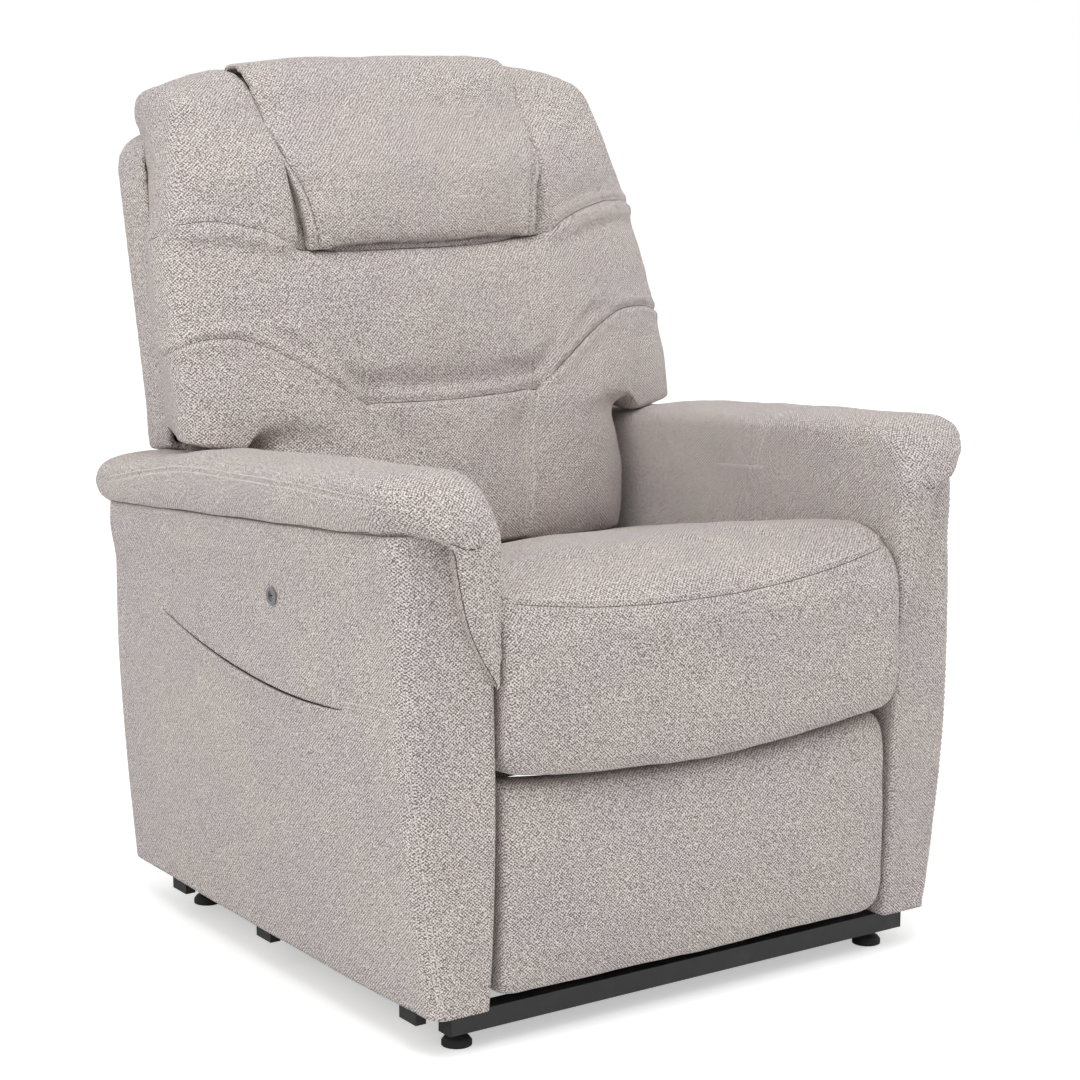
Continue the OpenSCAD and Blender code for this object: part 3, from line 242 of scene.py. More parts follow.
def woven_cloth(name, base, light, dark, sizes, flecks=1.0):
    """Heathered plain weave: crossing yarns, light and dark flecks, slow change of tone"""
    b = Build(name)
    turn = math.pi / sizes.yarn
    place = b.node("ShaderNodeSeparateXYZ", None, {0: b.cloth_place((turn, turn * 1.12, 1))})
    across, along = b.outputs(place, 0, 1)
    crossing = across.math("SINE") * along.math("SINE")
    short, long = 700.0, 260.0
    weft = b.noise(b.cloth_place((long, short, 1)), 1.0, 1.5, 0.6)
    warp = b.noise(b.cloth_place((short, long, 1)), 1.0, 1.5, 0.6)
    over = crossing.step(-0.4, 0.4)
    yarn = weft * over + warp * (1.0 - over)
    speck = b.noise(b.object_place(), short, 1.0, 0.6)
    tone = crossing * 0.50 + (yarn - 0.5) * 2.8 + (speck - 0.5) * 2.7 + 0.5
    shade = b.mix((1.0 - tone.step(0.10, 0.50)) * flecks, base, dark)
    shade = b.mix(tone.step(0.50, 0.90) * flecks, shade, light)
    patch = b.noise(b.object_place(), 9.0, 3.0, 0.55).step(0.3, 0.7)
    tint = b.mix(patch, (0.93, 0.925, 0.95), (1.0, 0.99, 0.97))
    shade = b.node(
        "ShaderNodeMix", {"data_type": "RGBA", "blend_type": "MULTIPLY"},
        {0: 1.0, 6: shade, 7: tint}, output=2)
    return b.finish(
        Base_Color=shade,
        Roughness=0.92 - tone * 0.10,
        Normal=b.bump(tone + crossing * 0.5, 0.75, sizes.nap),
        Sheen_Weight=0.15,
        Sheen_Roughness=0.5,
        Sheen_Tint=(0.95, 0.90, 0.88),
    )


def twisted_thread(name, base):
    b = Build(name)
    ply = b.noise(b.object_place(), 900.0, 1.0)
    return b.finish(
        Base_Color=b.mix(ply.step(0.3, 0.7), tuple(c * 0.8 for c in base), base),
        Roughness=0.75, Normal=b.bump(ply, 0.4, 0.0002))


def powder_coat(name, base, rough, grain=420.0):
    """Painted steel with a fine orange peel, rubbed paler on a few spots"""
    b = Build(name)
    peel = b.noise(b.object_place(), grain, 2.0)
    dust = b.noise(b.object_place(), 24.0, 4.0, 0.65)
    shade = b.mix(dust.step(0.45, 0.8), base, tuple(c * 1.8 + 0.004 for c in base))
    return b.finish(
        Base_Color=shade, Roughness=dust * 0.25 + rough, Coat_Weight=0.15,
        Normal=b.bump(peel, 0.25, 0.0003))


def zinc_plate(name):
    b = Build(name)
    brushed = b.noise(b.object_place((40, 900, 900)), 1.0, 3.0)
    spangle = b.noise(b.object_place(), 160.0, 2.0)
    return b.finish(
        Base_Color=b.mix(spangle, (0.50, 0.51, 0.53), (0.68, 0.69, 0.70)),
        Metallic=1.0, Roughness=brushed * 0.22 + 0.22, Normal=b.bump(brushed, 0.12, 0.0001))


def moulded_plastic(name, base, rough, grain=900.0, coat=0.0):
    b = Build(name)
    spark = b.noise(b.object_place(), grain, 1.0)
    wear = b.noise(b.object_place(), 30.0, 4.0, 0.6)
    return b.finish(
        Base_Color=b.mix(wear.step(0.4, 0.8), base, tuple(min(1, c * 1.35 + 0.004) for c in base)),
        Roughness=wear * 0.2 + rough, Coat_Weight=coat, Normal=b.bump(spark, 0.2, 0.00015))


def sawn_timber(name):
    b = Build(name)
    ring = b.noise(b.object_place((3, 3, 38)), 1.0, 4.0, 0.6)
    fibre = b.noise(b.object_place((30, 30, 900)), 1.0, 2.0)
    shade = b.mix(ring.step(0.3, 0.7), (0.60, 0.41, 0.22), (0.43, 0.26, 0.12))
    return b.finish(
        Base_Color=b.mix(fibre * 0.35, shade, (0.32, 0.19, 0.09)),
        Roughness=fibre * 0.2 + 0.6, Normal=b.bump(fibre + ring, 0.3, 0.0004))


def material(name):
    """The material of that name, made when it is first asked for"""
    found = bpy.data.materials.get(name)
    if found:
        return found
    cloth = bpy.context.scene.chair_cloth
    base, light, dark = tuple(cloth.base), tuple(cloth.light), tuple(cloth.dark)
    lining = tuple(cloth.lining)
    makers = {
        "woven_cloth": lambda: woven_cloth(name, base, light, dark, cloth),
        "pocket_lining": lambda: woven_cloth(
            name, lining, tuple(c * 1.3 for c in lining), tuple(c * 0.6 for c in lining), cloth),
        "sewing_thread": lambda: twisted_thread(name, tuple(cloth.thread)),
        "seam_shadow": lambda: twisted_thread(name, tuple(c * 0.5 for c in dark)),
        "black_powder_coat": lambda: powder_coat(name, (0.013, 0.013, 0.014), 0.34),
        "zinc_plate": lambda: zinc_plate(name),
        "foot_plastic": lambda: moulded_plastic(name, (0.013, 0.013, 0.014), 0.22, 600.0, 0.2),
        "motor_plastic": lambda: moulded_plastic(name, (0.02, 0.02, 0.022), 0.45),
        "tube_plastic": lambda: moulded_plastic(name, (0.05, 0.05, 0.052), 0.35),
        "bezel_plastic": lambda: moulded_plastic(name, (0.20, 0.205, 0.20), 0.28, 500.0, 0.3),
        "rubber": lambda: moulded_plastic(name, (0.02, 0.02, 0.02), 0.7, 300.0),
        "sawn_timber": lambda: sawn_timber(name),
    }
    return makers[name]()


# --------------------------------------------------------------------- meshes
def node_mesh(node):
    """A copy of a frame node's mesh with its loose triangles merged"""
    bm = bmesh.new()
    bm.from_mesh(frame["nodes"][node].data)
    bmesh.ops.remove_doubles(bm, verts=bm.verts, dist=1e-5)
    return bm


def new_object(name, bm):
    mesh = bpy.data.meshes.new(name)
    bm.to_mesh(mesh)
    bm.free()
    made = bpy.data.objects.new(name, mesh)
    bpy.context.scene.collection.objects.link(made)
    return made


def apply_modifiers(obj):
    graph = bpy.context.evaluated_depsgraph_get()
    mesh = bpy.data.meshes.new_from_object(obj.evaluated_get(graph))
    obj.modifiers.clear()
    old, obj.data = obj.data, mesh
    bpy.data.meshes.remove(old)


def relax(obj, rounds):
    ease = obj.modifiers.new("relax", "SMOOTH")
    ease.factor, ease.iterations = 0.5, rounds
    apply_modifiers(obj)


def remeshed(obj, size, rounds):
    """Even quads over the whole surface, with the facets smoothed away"""
    remesh = obj.modifiers.new("even", "REMESH")
    remesh.mode = "VOXEL"
    remesh.voxel_size = size
    relax(obj, rounds)


def carve(obj, knife):
    """Takes the knife's shape out of a piece, and the knife away"""
    cut = obj.modifiers.new("carve", "BOOLEAN")
    cut.operation, cut.solver, cut.object = "DIFFERENCE", "EXACT", knife
    apply_modifiers(obj)
    mesh = knife.data
    bpy.data.objects.remove(knife)
    bpy.data.meshes.remove(mesh)


def subdivided(obj):
    divide = obj.modifiers.new("divide", "SUBSURF")
    divide.levels = divide.render_levels = 1
    apply_modifiers(obj)


def walled(obj, thickness):
    """Gives a sheet its thickness, inwards"""
    wall = obj.modifiers.new("wall", "SOLIDIFY")
    wall.thickness, wall.offset = thickness, -1
    apply_modifiers(obj)


def points_of(obj, wanted="co"):
    found = np.empty(len(obj.data.vertices) * 3, np.float32)
    obj.data.vertices.foreach_get(wanted, found)
    return found.reshape(-1, 3).astype(float)


def normals_of(obj):
    return points_of(obj, "normal")


def put_points(obj, points):
    obj.data.vertices.foreach_set("co", points.astype(np.float32).ravel())
    obj.data.update()


def swell(obj, held, cap=None):
    """Blows a cushion up as cloth. held is 1 at a point that stays, as on a seam, and 0 elsewhere"""
    padding = bpy.context.scene.chair_padding
    slack = points_of(obj) - normals_of(obj) * (padding.slack * (1 - held))[:, None]
    put_points(obj, slack)
    rest = points_of(obj)
    group = obj.vertex_groups.new(name="held")
    for level in (1.0, 0.5):
        chosen = np.nonzero(held >= level if level == 1 else (held > 0.25) & (held < 1))[0]
        group.add([int(i) for i in chosen], level, "REPLACE")
    cloth = obj.modifiers.new("swell", "CLOTH")
    settings = cloth.settings
    settings.quality = 4
    settings.mass = 0.3
    settings.tension_stiffness = settings.compression_stiffness = 18
    settings.shear_stiffness = 8
    settings.bending_stiffness = 2
    settings.vertex_group_mass = group.name
    settings.use_pressure = True
    settings.uniform_pressure_force = padding.pressure
    settings.effector_weights.gravity = 0
    cloth.collision_settings.use_collision = False
    cloth.point_cache.frame_start = 1
    cloth.point_cache.frame_end = padding.frames
    for step in range(1, padding.frames + 1):
        bpy.context.scene.frame_set(step)
    apply_modifiers(obj)
    moved = points_of(obj) - rest
    far = np.linalg.norm(moved, axis=1)
    moved *= np.minimum(1, (cap or padding.cap) / np.maximum(far, 1e-9))[:, None]
    put_points(obj, rest + moved * (1 - held)[:, None])
    obj.vertex_groups.clear()
    relax(obj, 3)
    bpy.context.scene.frame_set(1)


def lay_weave(obj):
    """The weave's own map, in metres, on the two axes that each face lies along"""
    mesh = obj.data
    for old in list(mesh.uv_layers):
        mesh.uv_layers.remove(old)
    layer = mesh.uv_layers.new(name="weave")
    corners = np.empty(len(mesh.loops), np.int32)
    mesh.loops.foreach_get("vertex_index", corners)
    totals = np.empty(len(mesh.polygons), np.int32)
    mesh.polygons.foreach_get("loop_total", totals)
    facing = np.empty(len(mesh.polygons) * 3, np.float32)
    mesh.polygons.foreach_get("normal", facing)
    lead = np.repeat(np.abs(facing.reshape(-1, 3)).argmax(1), totals)
    at = points_of(obj)[corners]
    u = np.where(lead == 0, at[:, 1], at[:, 0])
    v = np.where(lead == 2, at[:, 1], at[:, 2])
    layer.data.foreach_set("uv", np.stack([u, v], 1).astype(np.float32).ravel())


def dress(obj, kind, body, replaces=()):
    """Gives a finished piece its material, its body and what it stands for"""
    obj.data.materials.clear()
    obj.data.materials.append(material(kind))
    obj.data.shade_smooth()
    lay_weave(obj)
    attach(obj, body)
    if replaces:
        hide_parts(*replaces)
    return obj


# ------------------------------------------------------------------- needlework
def through(points, step=MM):
    """Even samples of a smooth curve through the given points"""
    p = np.array([tuple(q) for q in points], float)
    p = np.vstack([2 * p[0] - p[1], p, 2 * p[-1] - p[-2]])
    samples = []
    for i in range(1, len(p) - 2):
        count = max(2, int(np.linalg.norm(p[i + 1] - p[i]) / step))
        t = np.linspace(0, 1, count, endpoint=False)[:, None]
        a, b, c, d = p[i - 1], p[i], p[i + 1], p[i + 2]
        samples.append(0.5 * (2 * b + (c - a) * t + (2 * a - 5 * b + 4 * c - d) * t ** 2
                              + (3 * b - 3 * c + d - a) * t ** 3))
    samples.append(p[-2:-1])
    return np.vstack(samples)


def surface_of(obj):
    return BVHTree.FromPolygons(
        [tuple(p) for p in points_of(obj)], [tuple(f.vertices) for f in obj.data.polygons])


def trace(surface, route, look, start):
    """Lays a route, given in millimetres on the two axes square to look, onto a surface.
    look is the way of sight, as an axis letter with its sign, and start where it begins on it."""
    axis = "xyz".index(look[1])
    others = [k for k in range(3) if k != axis]
    way = Vector((0, 0, 0))
    way[axis] = 1 if look[0] == "+" else -1
    laid = []
    for q in through([(a * MM, b * MM, 0) for a, b in route]):
        eye = Vector((0, 0, 0))
        eye[axis] = start * MM
        eye[others[0]], eye[others[1]] = q[0], q[1]
        place, normal, _, _ = surface.ray_cast(eye, way)
        if place is not None:
            laid.append((place, normal))
    return laid


def drape(surface, places, side=1):
    """Lays a smooth curve through places, given in millimetres, on the nearest skin of a surface"""
    laid = []
    for q in through([(side * x * MM, y * MM, z * MM) for x, y, z in places]):
        spot, facing, _, _ = surface.find_nearest(Vector(q))
        laid.append((spot, facing))
    return laid


class Needle:
    """Sews on one piece: every valley and gather is measured on the piece as it was at first"""

    def __init__(self, obj):
        self.obj = obj
        self.points, self.normals = points_of(obj), normals_of(obj)
        self.shift = np.zeros_like(self.points)
        self.tree = KDTree(len(self.points))
        for i, p in enumerate(self.points):
            self.tree.insert(p, i)
        self.tree.balance()
        self.surface = surface_of(obj)

    def near(self, path, reach):
        """For each point within reach of the path: its distance, and how far along it lies"""
        best = {}
        along, last, counted = 0.0, None, 0.0
        for place, _ in path:
            if last is not None:
                along += (place - last).length
            last = place
            if counted and along - counted < reach * 0.12:
                continue
            counted = along
            for _, index, distance in self.tree.find_range(place, reach):
                if index not in best or distance < best[index][0]:
                    best[index] = (distance, along)
        index = np.array(list(best), int)
        values = np.array([best[i] for i in index]).reshape(-1, 2)
        return index, values[:, 0], values[:, 1], along

    def pin(self, held, path, reach=16 * MM, firm=1.4):
        """Marks the points beside a path as held, so that they stay as the cushion swells"""
        index, distance, _, _ = self.near(path, reach)
        held[index] = np.maximum(held[index], np.clip(firm - distance / (12 * MM), 0, 1))

    def valley(self, path, depth, width, ends=0.0):
        """Presses a line in by depth; it fades out over ends at both its ends"""
        index, distance, along, total = self.near(path, width * 3)
        fade = np.ones(len(index))
        if ends:
            fade = np.clip(np.minimum(along, total - along) / ends, 0, 1)
        press = depth * np.exp(-((distance / width) ** 2)) * fade
        self.shift[index] -= self.normals[index] * press[:, None]

    def gathers(self, path, height, reach, pitch, seed):
        """Small tucks that run away from a seam"""
        index, distance, along, _ = self.near(path, reach)
        wave = np.array([
            noise.noise(Vector((s / pitch, seed, d / (reach * 1.6)))) for s, d in zip(along, distance)])
        away = (1 - np.exp(-((distance / (5 * MM)) ** 2))) * np.exp(-distance / (reach * 0.5))
        lift = height * wave * away * np.clip(1.6 - 1.6 * distance / reach, 0, 1)
        self.shift[index] += self.normals[index] * lift[:, None]

    def unrest(self, height, size, seed):
        """A slow uneven swell over the whole piece"""
        lift = np.array([noise.noise(Vector(p / size) + Vector((seed, 0, 0))) for p in self.points])
        self.shift += self.normals * (lift * height)[:, None]

    def seam(self, path, depth, width, tuck=0.0, reach=40 * MM, pitch=12 * MM, ends=0.0):
        """A sewn seam: a wide soft valley, a sharp line in it and tucks on both sides"""
        self.valley(path, depth, width * 2.6, ends)
        self.valley(path, depth * 0.5, width * 1.5, ends)
        if tuck:
            self.gathers(path, tuck, reach, pitch, len(path))

    def done(self):
        put_points(self.obj, self.points + self.shift)
        return surface_of(self.obj)


def beside(path, offset):
    """The path moved sideways along the surface"""
    moved = []
    for i, (place, normal) in enumerate(path):
        ahead = path[min(i + 4, len(path) - 1)][0] - path[max(i - 4, 0)][0]
        side = normal.cross(ahead)
        if side.length > 1e-9:
            moved.append((place + side.normalized() * offset, normal))
    return moved


def on_surface(surface, path, even=6):
    """The path laid again, and evened out, on a surface that has been sewn"""
    laid = []
    for place, normal in path:
        spot, facing, _, _ = surface.ray_cast(place + normal * 12 * MM, -normal, 30 * MM)
        if spot is None:
            spot, facing, _, _ = surface.find_nearest(place)
        laid.append((spot, facing))
    evened = []
    for i, (_, facing) in enumerate(laid):
        close = [spot for spot, _ in laid[max(0, i - even):i + even + 1]]
        evened.append((sum(close, Vector()) / len(close), facing))
    return evened


def thread_object(name, kind, radius, strands, body):
    """Threads as thin round cords, one strand for each list of places"""
    curve = bpy.data.curves.new(name, "CURVE")
    curve.dimensions = "3D"
    curve.bevel_depth = radius
    curve.bevel_resolution = 1
    curve.use_fill_caps = True
    for strand in strands:
        spline = curve.splines.new("POLY")
        spline.points.add(len(strand) - 1)
        for point, place in zip(spline.points, strand):
            point.co = (*place, 1)
    made = bpy.data.objects.new(name, curve)
    bpy.context.scene.collection.objects.link(made)
    graph = bpy.context.evaluated_depsgraph_get()
    mesh = bpy.data.meshes.new_from_object(made.evaluated_get(graph))
    bpy.data.objects.remove(made)
    bpy.data.curves.remove(curve)
    obj = bpy.data.objects.new(name, mesh)
    bpy.context.scene.collection.objects.link(obj)
    return dress(obj, kind, body)


def stitched(name, surface, paths, body):
    """Rows of thread stitches along paths, laid on the sewn surface"""
    sewing = bpy.context.scene.chair_sewing
    strands = []
    for path in paths:
        laid = on_surface(surface, path)
        travelled, marks = 0.0, []
        for (a, _), (b, facing) in zip(laid, laid[1:]):
            travelled += (b - a).length
            if travelled % sewing.pitch < sewing.stitch:
                marks.append((b, facing))
            elif marks:
                if len(marks) > 2:
                    strands.append(one_stitch(marks, sewing.thread_r))
                marks = []
    return thread_object(name, "sewing_thread", sewing.thread_r, strands, body)


def one_stitch(marks, r):
    """A thread that rises out of the cloth and dives in again"""
    first, middle, last = marks[0], marks[len(marks) // 2], marks[-1]
    return [
        first[0] - first[1] * r,
        first[0].lerp(middle[0], 0.4) + first[1] * r * 0.7,
        middle[0].lerp(last[0], 0.6) + last[1] * r * 0.7,
        last[0] - last[1] * r,
    ]


def painted_shadow_lines(name, surface, paths, body, weight=1.0):
    """Dark cords at the bottom of each seam and along each joint: painted shadow where shade falls in
    the crease
    """
    r = bpy.context.scene.chair_sewing.shadow_line_r * weight
    strands = []
    for path in paths:
        laid = on_surface(surface, path)[::6]
        if len(laid) > 1:
            strands.append([place - normal * r * 0.35 for place, normal in laid])
    return thread_object(name, "seam_shadow", r, strands, body)


def sheet_mesh(columns, rows, place, closed=False):
    """A grid of quads whose corners place(i, j) puts; closed joins its first and last column"""
    bm = bmesh.new()
    bmesh.ops.create_grid(bm, x_segments=columns, y_segments=rows, size=0.5)
    for vertex in bm.verts:
        i = round((vertex.co.x + 0.5) * columns)
        j = round((vertex.co.y + 0.5) * rows)
        vertex.co = place(i, j)
    if closed:
        bmesh.ops.remove_doubles(bm, verts=bm.verts, dist=1e-5)
    return bm


def face_outwards(bm):
    bmesh.ops.recalc_face_normals(bm, faces=bm.faces)


def thicken(bm, faces, way):
    """Makes a closed block of a sheet, as deep as way is long"""
    made = bmesh.ops.extrude_face_region(bm, geom=faces)
    far = [g for g in made["geom"] if isinstance(g, bmesh.types.BMVert)]
    bmesh.ops.translate(bm, verts=far, vec=way)
    face_outwards(bm)


def smooth(t):
    """0 below 0, 1 above 1, and a smooth rise between them"""
    t = min(1, max(0, t))
    return t * t * (3 - 2 * t)


def smooth_all(t):
    """The same for an array"""
    t = np.clip(t, 0, 1)
    return t * t * (3 - 2 * t)


def above(places, start, run):
    """1 where places lie run or more above start, in millimetres, and 0 below start"""
    return smooth_all((places - start * MM) / (run * MM))


def below(places, start, run):
    """1 where places lie run or more below start, in millimetres, and 0 above start"""
    return smooth_all((start * MM - places) / (run * MM))


def mirror_x(route):
    return [(-x, z) for x, z in route]


# ---------------------------------------------------------------------- pieces
# Where lines of sight start: before the back, before the seat's front edge and over the seat
BEFORE_BACK, BEFORE_SEAT, OVER_SEAT = -600, -700, 700
# Places and routes of seams are in millimetres, on the sitter's left side of the chair if they
# name no side. These are the routes on x and z, as seen from the front.
BACK_SEAMS = {
    "band": [(-133, 677), (-56, 673), (21, 673), (119, 675), (133, 677)],
    "pillow_foot": [(-190, 870), (-120, 866), (0, 863), (120, 866), (190, 870)],
    "mid_right": [(-164, 861), (-150, 832), (-139, 800), (-134, 755), (-131, 714), (-132, 680)],
    "low_right": [(-126, 670), (-112, 631), (-100, 584), (-92, 516), (-90, 490)],
    "dart_left": [(248, 847), (244, 805), (238, 771), (224, 748), (205, 730)],
}
# The seams of a wing, which run on round its side, as places
WING_SEAMS = {
    "upper": [(370, 275, 880), (366, 250, 888), (357, 232, 897), (335, 216, 905), (303, 207, 907),
              (264, 200, 900), (224, 193, 887), (200, 192, 872)],
    "lower": [(372, 240, 735), (382, 195, 748), (363, 172, 760), (330, 164, 765), (291, 155, 763),
              (260, 145, 752), (233, 137, 737), (200, 128, 716), (166, 122, 695), (133, 123, 677)],
}
# The gathered corner at the top of a wing
WING_CORNER = [(345, 300, 985), (338, 318, 1035), (318, 335, 1068), (285, 345, 1084)]


def solid_channels(points, normals):
    """How deep the solid's two plain channels are at each point of the wings"""
    x, z = np.abs(points[:, 0]) / MM, points[:, 2] / MM
    upper = 866 + 26 * smooth_all((x - 180) / 120)
    lower = 688 + 92 * smooth_all((x - 120) / 130)
    deep = sum(
        np.exp(-(((z - channel) / 13) ** 2)) * smooth_all((x - start) / 40)
        for channel, start in ((upper, 190), (lower, 140)))
    return CHANNEL * deep * np.clip(-normals[:, 1] * 2, 0, 1)


# How far each seam of the back is drawn in, and how high its tucks are, in millimetres
SEAM_PULL = {
    "upper": (3.0, 1.8), "lower": (4.2, 2.6), "band": (6.5, 2.6), "pillow_foot": (5.0, 2.6),
    "mid": (2.6, 1.8), "low": (2.0, 1.4), "dart": (2.0, 0.6), "fold": (7.0, 1.5),
}
# The fold where a wing turns in over the arm pad
WING_FOLD = [(336, 212, 668), (310, 204, 652), (288, 202, 634), (279, 206, 606), (281, 214, 570)]


def back_paths(surface):
    routes = dict(BACK_SEAMS)
    for name in ("mid", "low"):
        routes[name + "_left"] = mirror_x(BACK_SEAMS[name + "_right"])
    paths = {name: trace(surface, route, "+y", BEFORE_BACK) for name, route in routes.items()}
    for name, places in {**WING_SEAMS, "fold": WING_FOLD}.items():
        paths[name + "_left"] = drape(surface, places)
        paths[name + "_right"] = drape(surface, places, -1)
    return paths


class CHAIR_OT_back(bpy.types.Operator):
    """Upholsters the back: wings, sewn bands and the bed of the head pillow"""

    bl_idname = "chair.back"
    bl_label = "Back cushion"

    def execute(self, context):
        padding, sewing = context.scene.chair_padding, context.scene.chair_sewing
        cover = new_object("back_cover", node_mesh("back_cushion"))
        remeshed(cover, padding.grain, 3)
        self.shape(cover)
        needle = Needle(cover)
        held = np.clip((needle.normals[:, 1] - 0.2) * 2, 0, 1)
        for path in back_paths(needle.surface).values():
            needle.pin(held, path)
        swell(cover, held)
        subdivided(cover)
        needle = Needle(cover)
        paths = back_paths(needle.surface)
        for name, path in paths.items():
            depth, tuck = SEAM_PULL[name.removesuffix("_left").removesuffix("_right")]
            ends = 25 * MM if name.startswith(("dart", "fold")) else 0.0
            needle.seam(path, depth * MM, sewing.seam_w, tuck * MM, ends=ends)
        for side in (-1, 1):
            needle.gathers(drape(needle.surface, WING_CORNER, side), 6 * MM, 34 * MM, 15 * MM, 60)
        needle.unrest(3.5 * MM, 0.11, 3)
        needle.unrest(1.0 * MM, 0.030, 8)
        surface = needle.done()
        dress(cover, "woven_cloth", "backrest", replaces=["back_cushion"])
        rows = []
        for name in ("mid_right", "mid_left", "low_right", "low_left"):
            rows += [beside(paths[name], s * sewing.double / 2) for s in (-1, 1)]
        stitched("back_stitching", surface, rows, "backrest")
        # Painted shadow: dark cords in the wing seams, under the band and the pillow's foot, and where
        # the back comes down on the seat
        wings = [paths[name] for name in ("upper_right", "upper_left", "lower_right", "lower_left")]
        painted_shadow_lines("back_painted_shadows", surface, wings, "backrest")
        deep = [paths["band"], paths["pillow_foot"], self.seat_contact_shadow(surface)]
        painted_shadow_lines("back_deep_painted_shadows", surface, deep, "backrest", 1.7)
        return {"FINISHED"}

    @staticmethod
    def shape(cover):
        """Fills the wings' channels, bellies the small of the back and lets it down to the seat"""
        belly, corner_drop, flank_back, seat_drop = 22 * MM, 25 * MM, 17 * MM, 34 * MM
        points, normals = points_of(cover), normals_of(cover)
        points[:, 1] -= solid_channels(points, normals)
        low = below(points[:, 2], 640, 130)
        points[:, 1] -= belly * low * np.clip(-normals[:, 1] * 1.5, 0, 1)
        corner = above(np.abs(points[:, 0]), 285, 20)
        points[:, 2] -= corner_drop * corner * below(points[:, 2], 705, 40)
        flank = np.clip(np.abs(normals[:, 0]) * 1.5, 0, 1) * np.clip(normals[:, 1] * 2 + 0.6, 0, 1)
        flank *= above(np.abs(points[:, 0]), 280, 30)
        points[:, 1] += flank_back * flank * above(points[:, 2], 700, 60)
        roll_back(points)
        bm = node_mesh("seat_cushion")
        seat = BVHTree.FromBMesh(bm)
        bm.free()
        drop = seat_drop * below(points[:, 2], 545, 55)
        for i in np.nonzero(drop)[0]:
            x, y, z = points[i]
            under = seat_under(seat, x, y)
            floor = under.z + 1.5 * MM if under is not None else 0.0
            points[i, 2] = max(z - drop[i], min(z, floor))
        put_points(cover, points)

    @staticmethod
    def seat_contact_shadow(surface):
        """The line on the small of the back where it comes down on the seat, where a painted contact
        shadow is laid
        """
        seat = surface_of(bpy.data.objects["seat_cover"])
        line = []
        for x in range(-270, 271, 2):
            for z in range(600, 460, -2):
                eye = Vector((x * MM, BEFORE_BACK * MM, z * MM))
                spot, facing, _, _ = surface.ray_cast(eye, Vector((0, 1, 0)))
                if spot is None:
                    break
                under = seat_under(seat, spot.x, spot.y)
                if under is not None and spot.z - under.z < 3 * MM:
                    line.append((spot, facing))
                    break
        return line


def seat_under(seat, x, y):
    """The place on the seat's top under a point, or None beside the seat"""
    return seat.ray_cast(Vector((x, y, OVER_SEAT * MM)), Vector((0, 0, -1)))[0]


def roll_back(points):
    """Lets the middle of the back's top roll over farther to the rear"""
    x, y, z = np.abs(points[:, 0]), points[:, 1], points[:, 2]
    rise = above(z, 955, 100) * below(x, 355, 130)
    points[:, 1] += 42 * MM * rise * np.clip((390 * MM - y) / (140 * MM), 0, 1)


# The pillow's right edge and its foot, on x and z as seen from the front
PILLOW_EDGE = [(-163, 868), (-173, 930), (-193, 985), (-210, 1045), (-220, 1086)]
PILLOW_FOOT = [(-165, 876), (0, 872), (165, 876)]


class CHAIR_OT_pillow(bpy.types.Operator):
    """Lays the head pillow over the top of the back"""

    bl_idname = "chair.pillow"
    bl_label = "Head pillow"

    def execute(self, context):
        padding, sewing = context.scene.chair_padding, context.scene.chair_sewing
        pillow = new_object("head_pillow_cover", node_mesh("head_pillow"))
        remeshed(pillow, padding.fine * 0.9, 2)
        points = points_of(pillow)
        hang = below(points[:, 2], 930, 50)
        points[:, 2] -= 12 * MM * hang
        points[:, 1] -= 5 * MM * hang
        points[:, 0] *= 1 + 0.09 * above(points[:, 2], 880, 130)
        roll_back(points)
        put_points(pillow, points)
        needle = Needle(pillow)
        held = np.clip((needle.normals[:, 1] - 0.1) * 2, 0, 1)
        for path in self.flanges(needle.surface):
            needle.pin(held, path, 24 * MM, 2.0)
        swell(pillow, held, 8 * MM)
        subdivided(pillow)
        needle = Needle(pillow)
        right, left = self.flanges(needle.surface)
        for path in (right, left):
            needle.seam(path, 4 * MM, sewing.seam_w, 4 * MM, 38 * MM, 15 * MM)
        foot = trace(needle.surface, PILLOW_FOOT, "+y", BEFORE_BACK)
        needle.gathers(foot, 5 * MM, 40 * MM, 15 * MM, 31)
        needle.unrest(4 * MM, 0.10, 9)
        needle.unrest(1.0 * MM, 0.030, 12)
        surface = needle.done()
        dress(pillow, "woven_cloth", "backrest", replaces=["head_pillow"])
        rows = [beside(path, s * sewing.double * 0.5) for path in (right, left) for s in (-1, 1)]
        stitched("pillow_stitching", surface, rows, "backrest")
        # Painted shadow: dark cords along the pillow's edges, where the wings shade it
        painted_shadow_lines("pillow_painted_shadows", surface, [right, left], "backrest")
        return {"FINISHED"}

    @staticmethod
    def flanges(surface):
        """The seams down the pillow's right and left edges"""
        routes = (PILLOW_EDGE, mirror_x(PILLOW_EDGE))
        return [trace(surface, route, "+y", BEFORE_BACK) for route in routes]


# Soft creases of the seat and the hollow across it, on x and y as seen from above
SEAT_HOLLOW = [(288, -232), (220, -205), (120, -200), (20, -225), (-80, -240)]
SEAT_CREASES = [
    [(-175, -300), (-128, -330), (-104, -362), (-100, -392)],
    [(-130, -290), (-92, -325), (-74, -360), (-76, -392)],
    [(-60, -300), (-30, -330), (-16, -365), (-20, -395)],
    [(20, -290), (60, -320), (84, -350), (88, -385)],
    [(100, -280), (140, -310), (160, -345), (164, -380)],
]


def seat_seam(x):
    """Height of the seam along the front edge of the seat"""
    return 503.5 + 26 * (x / 280) ** 2


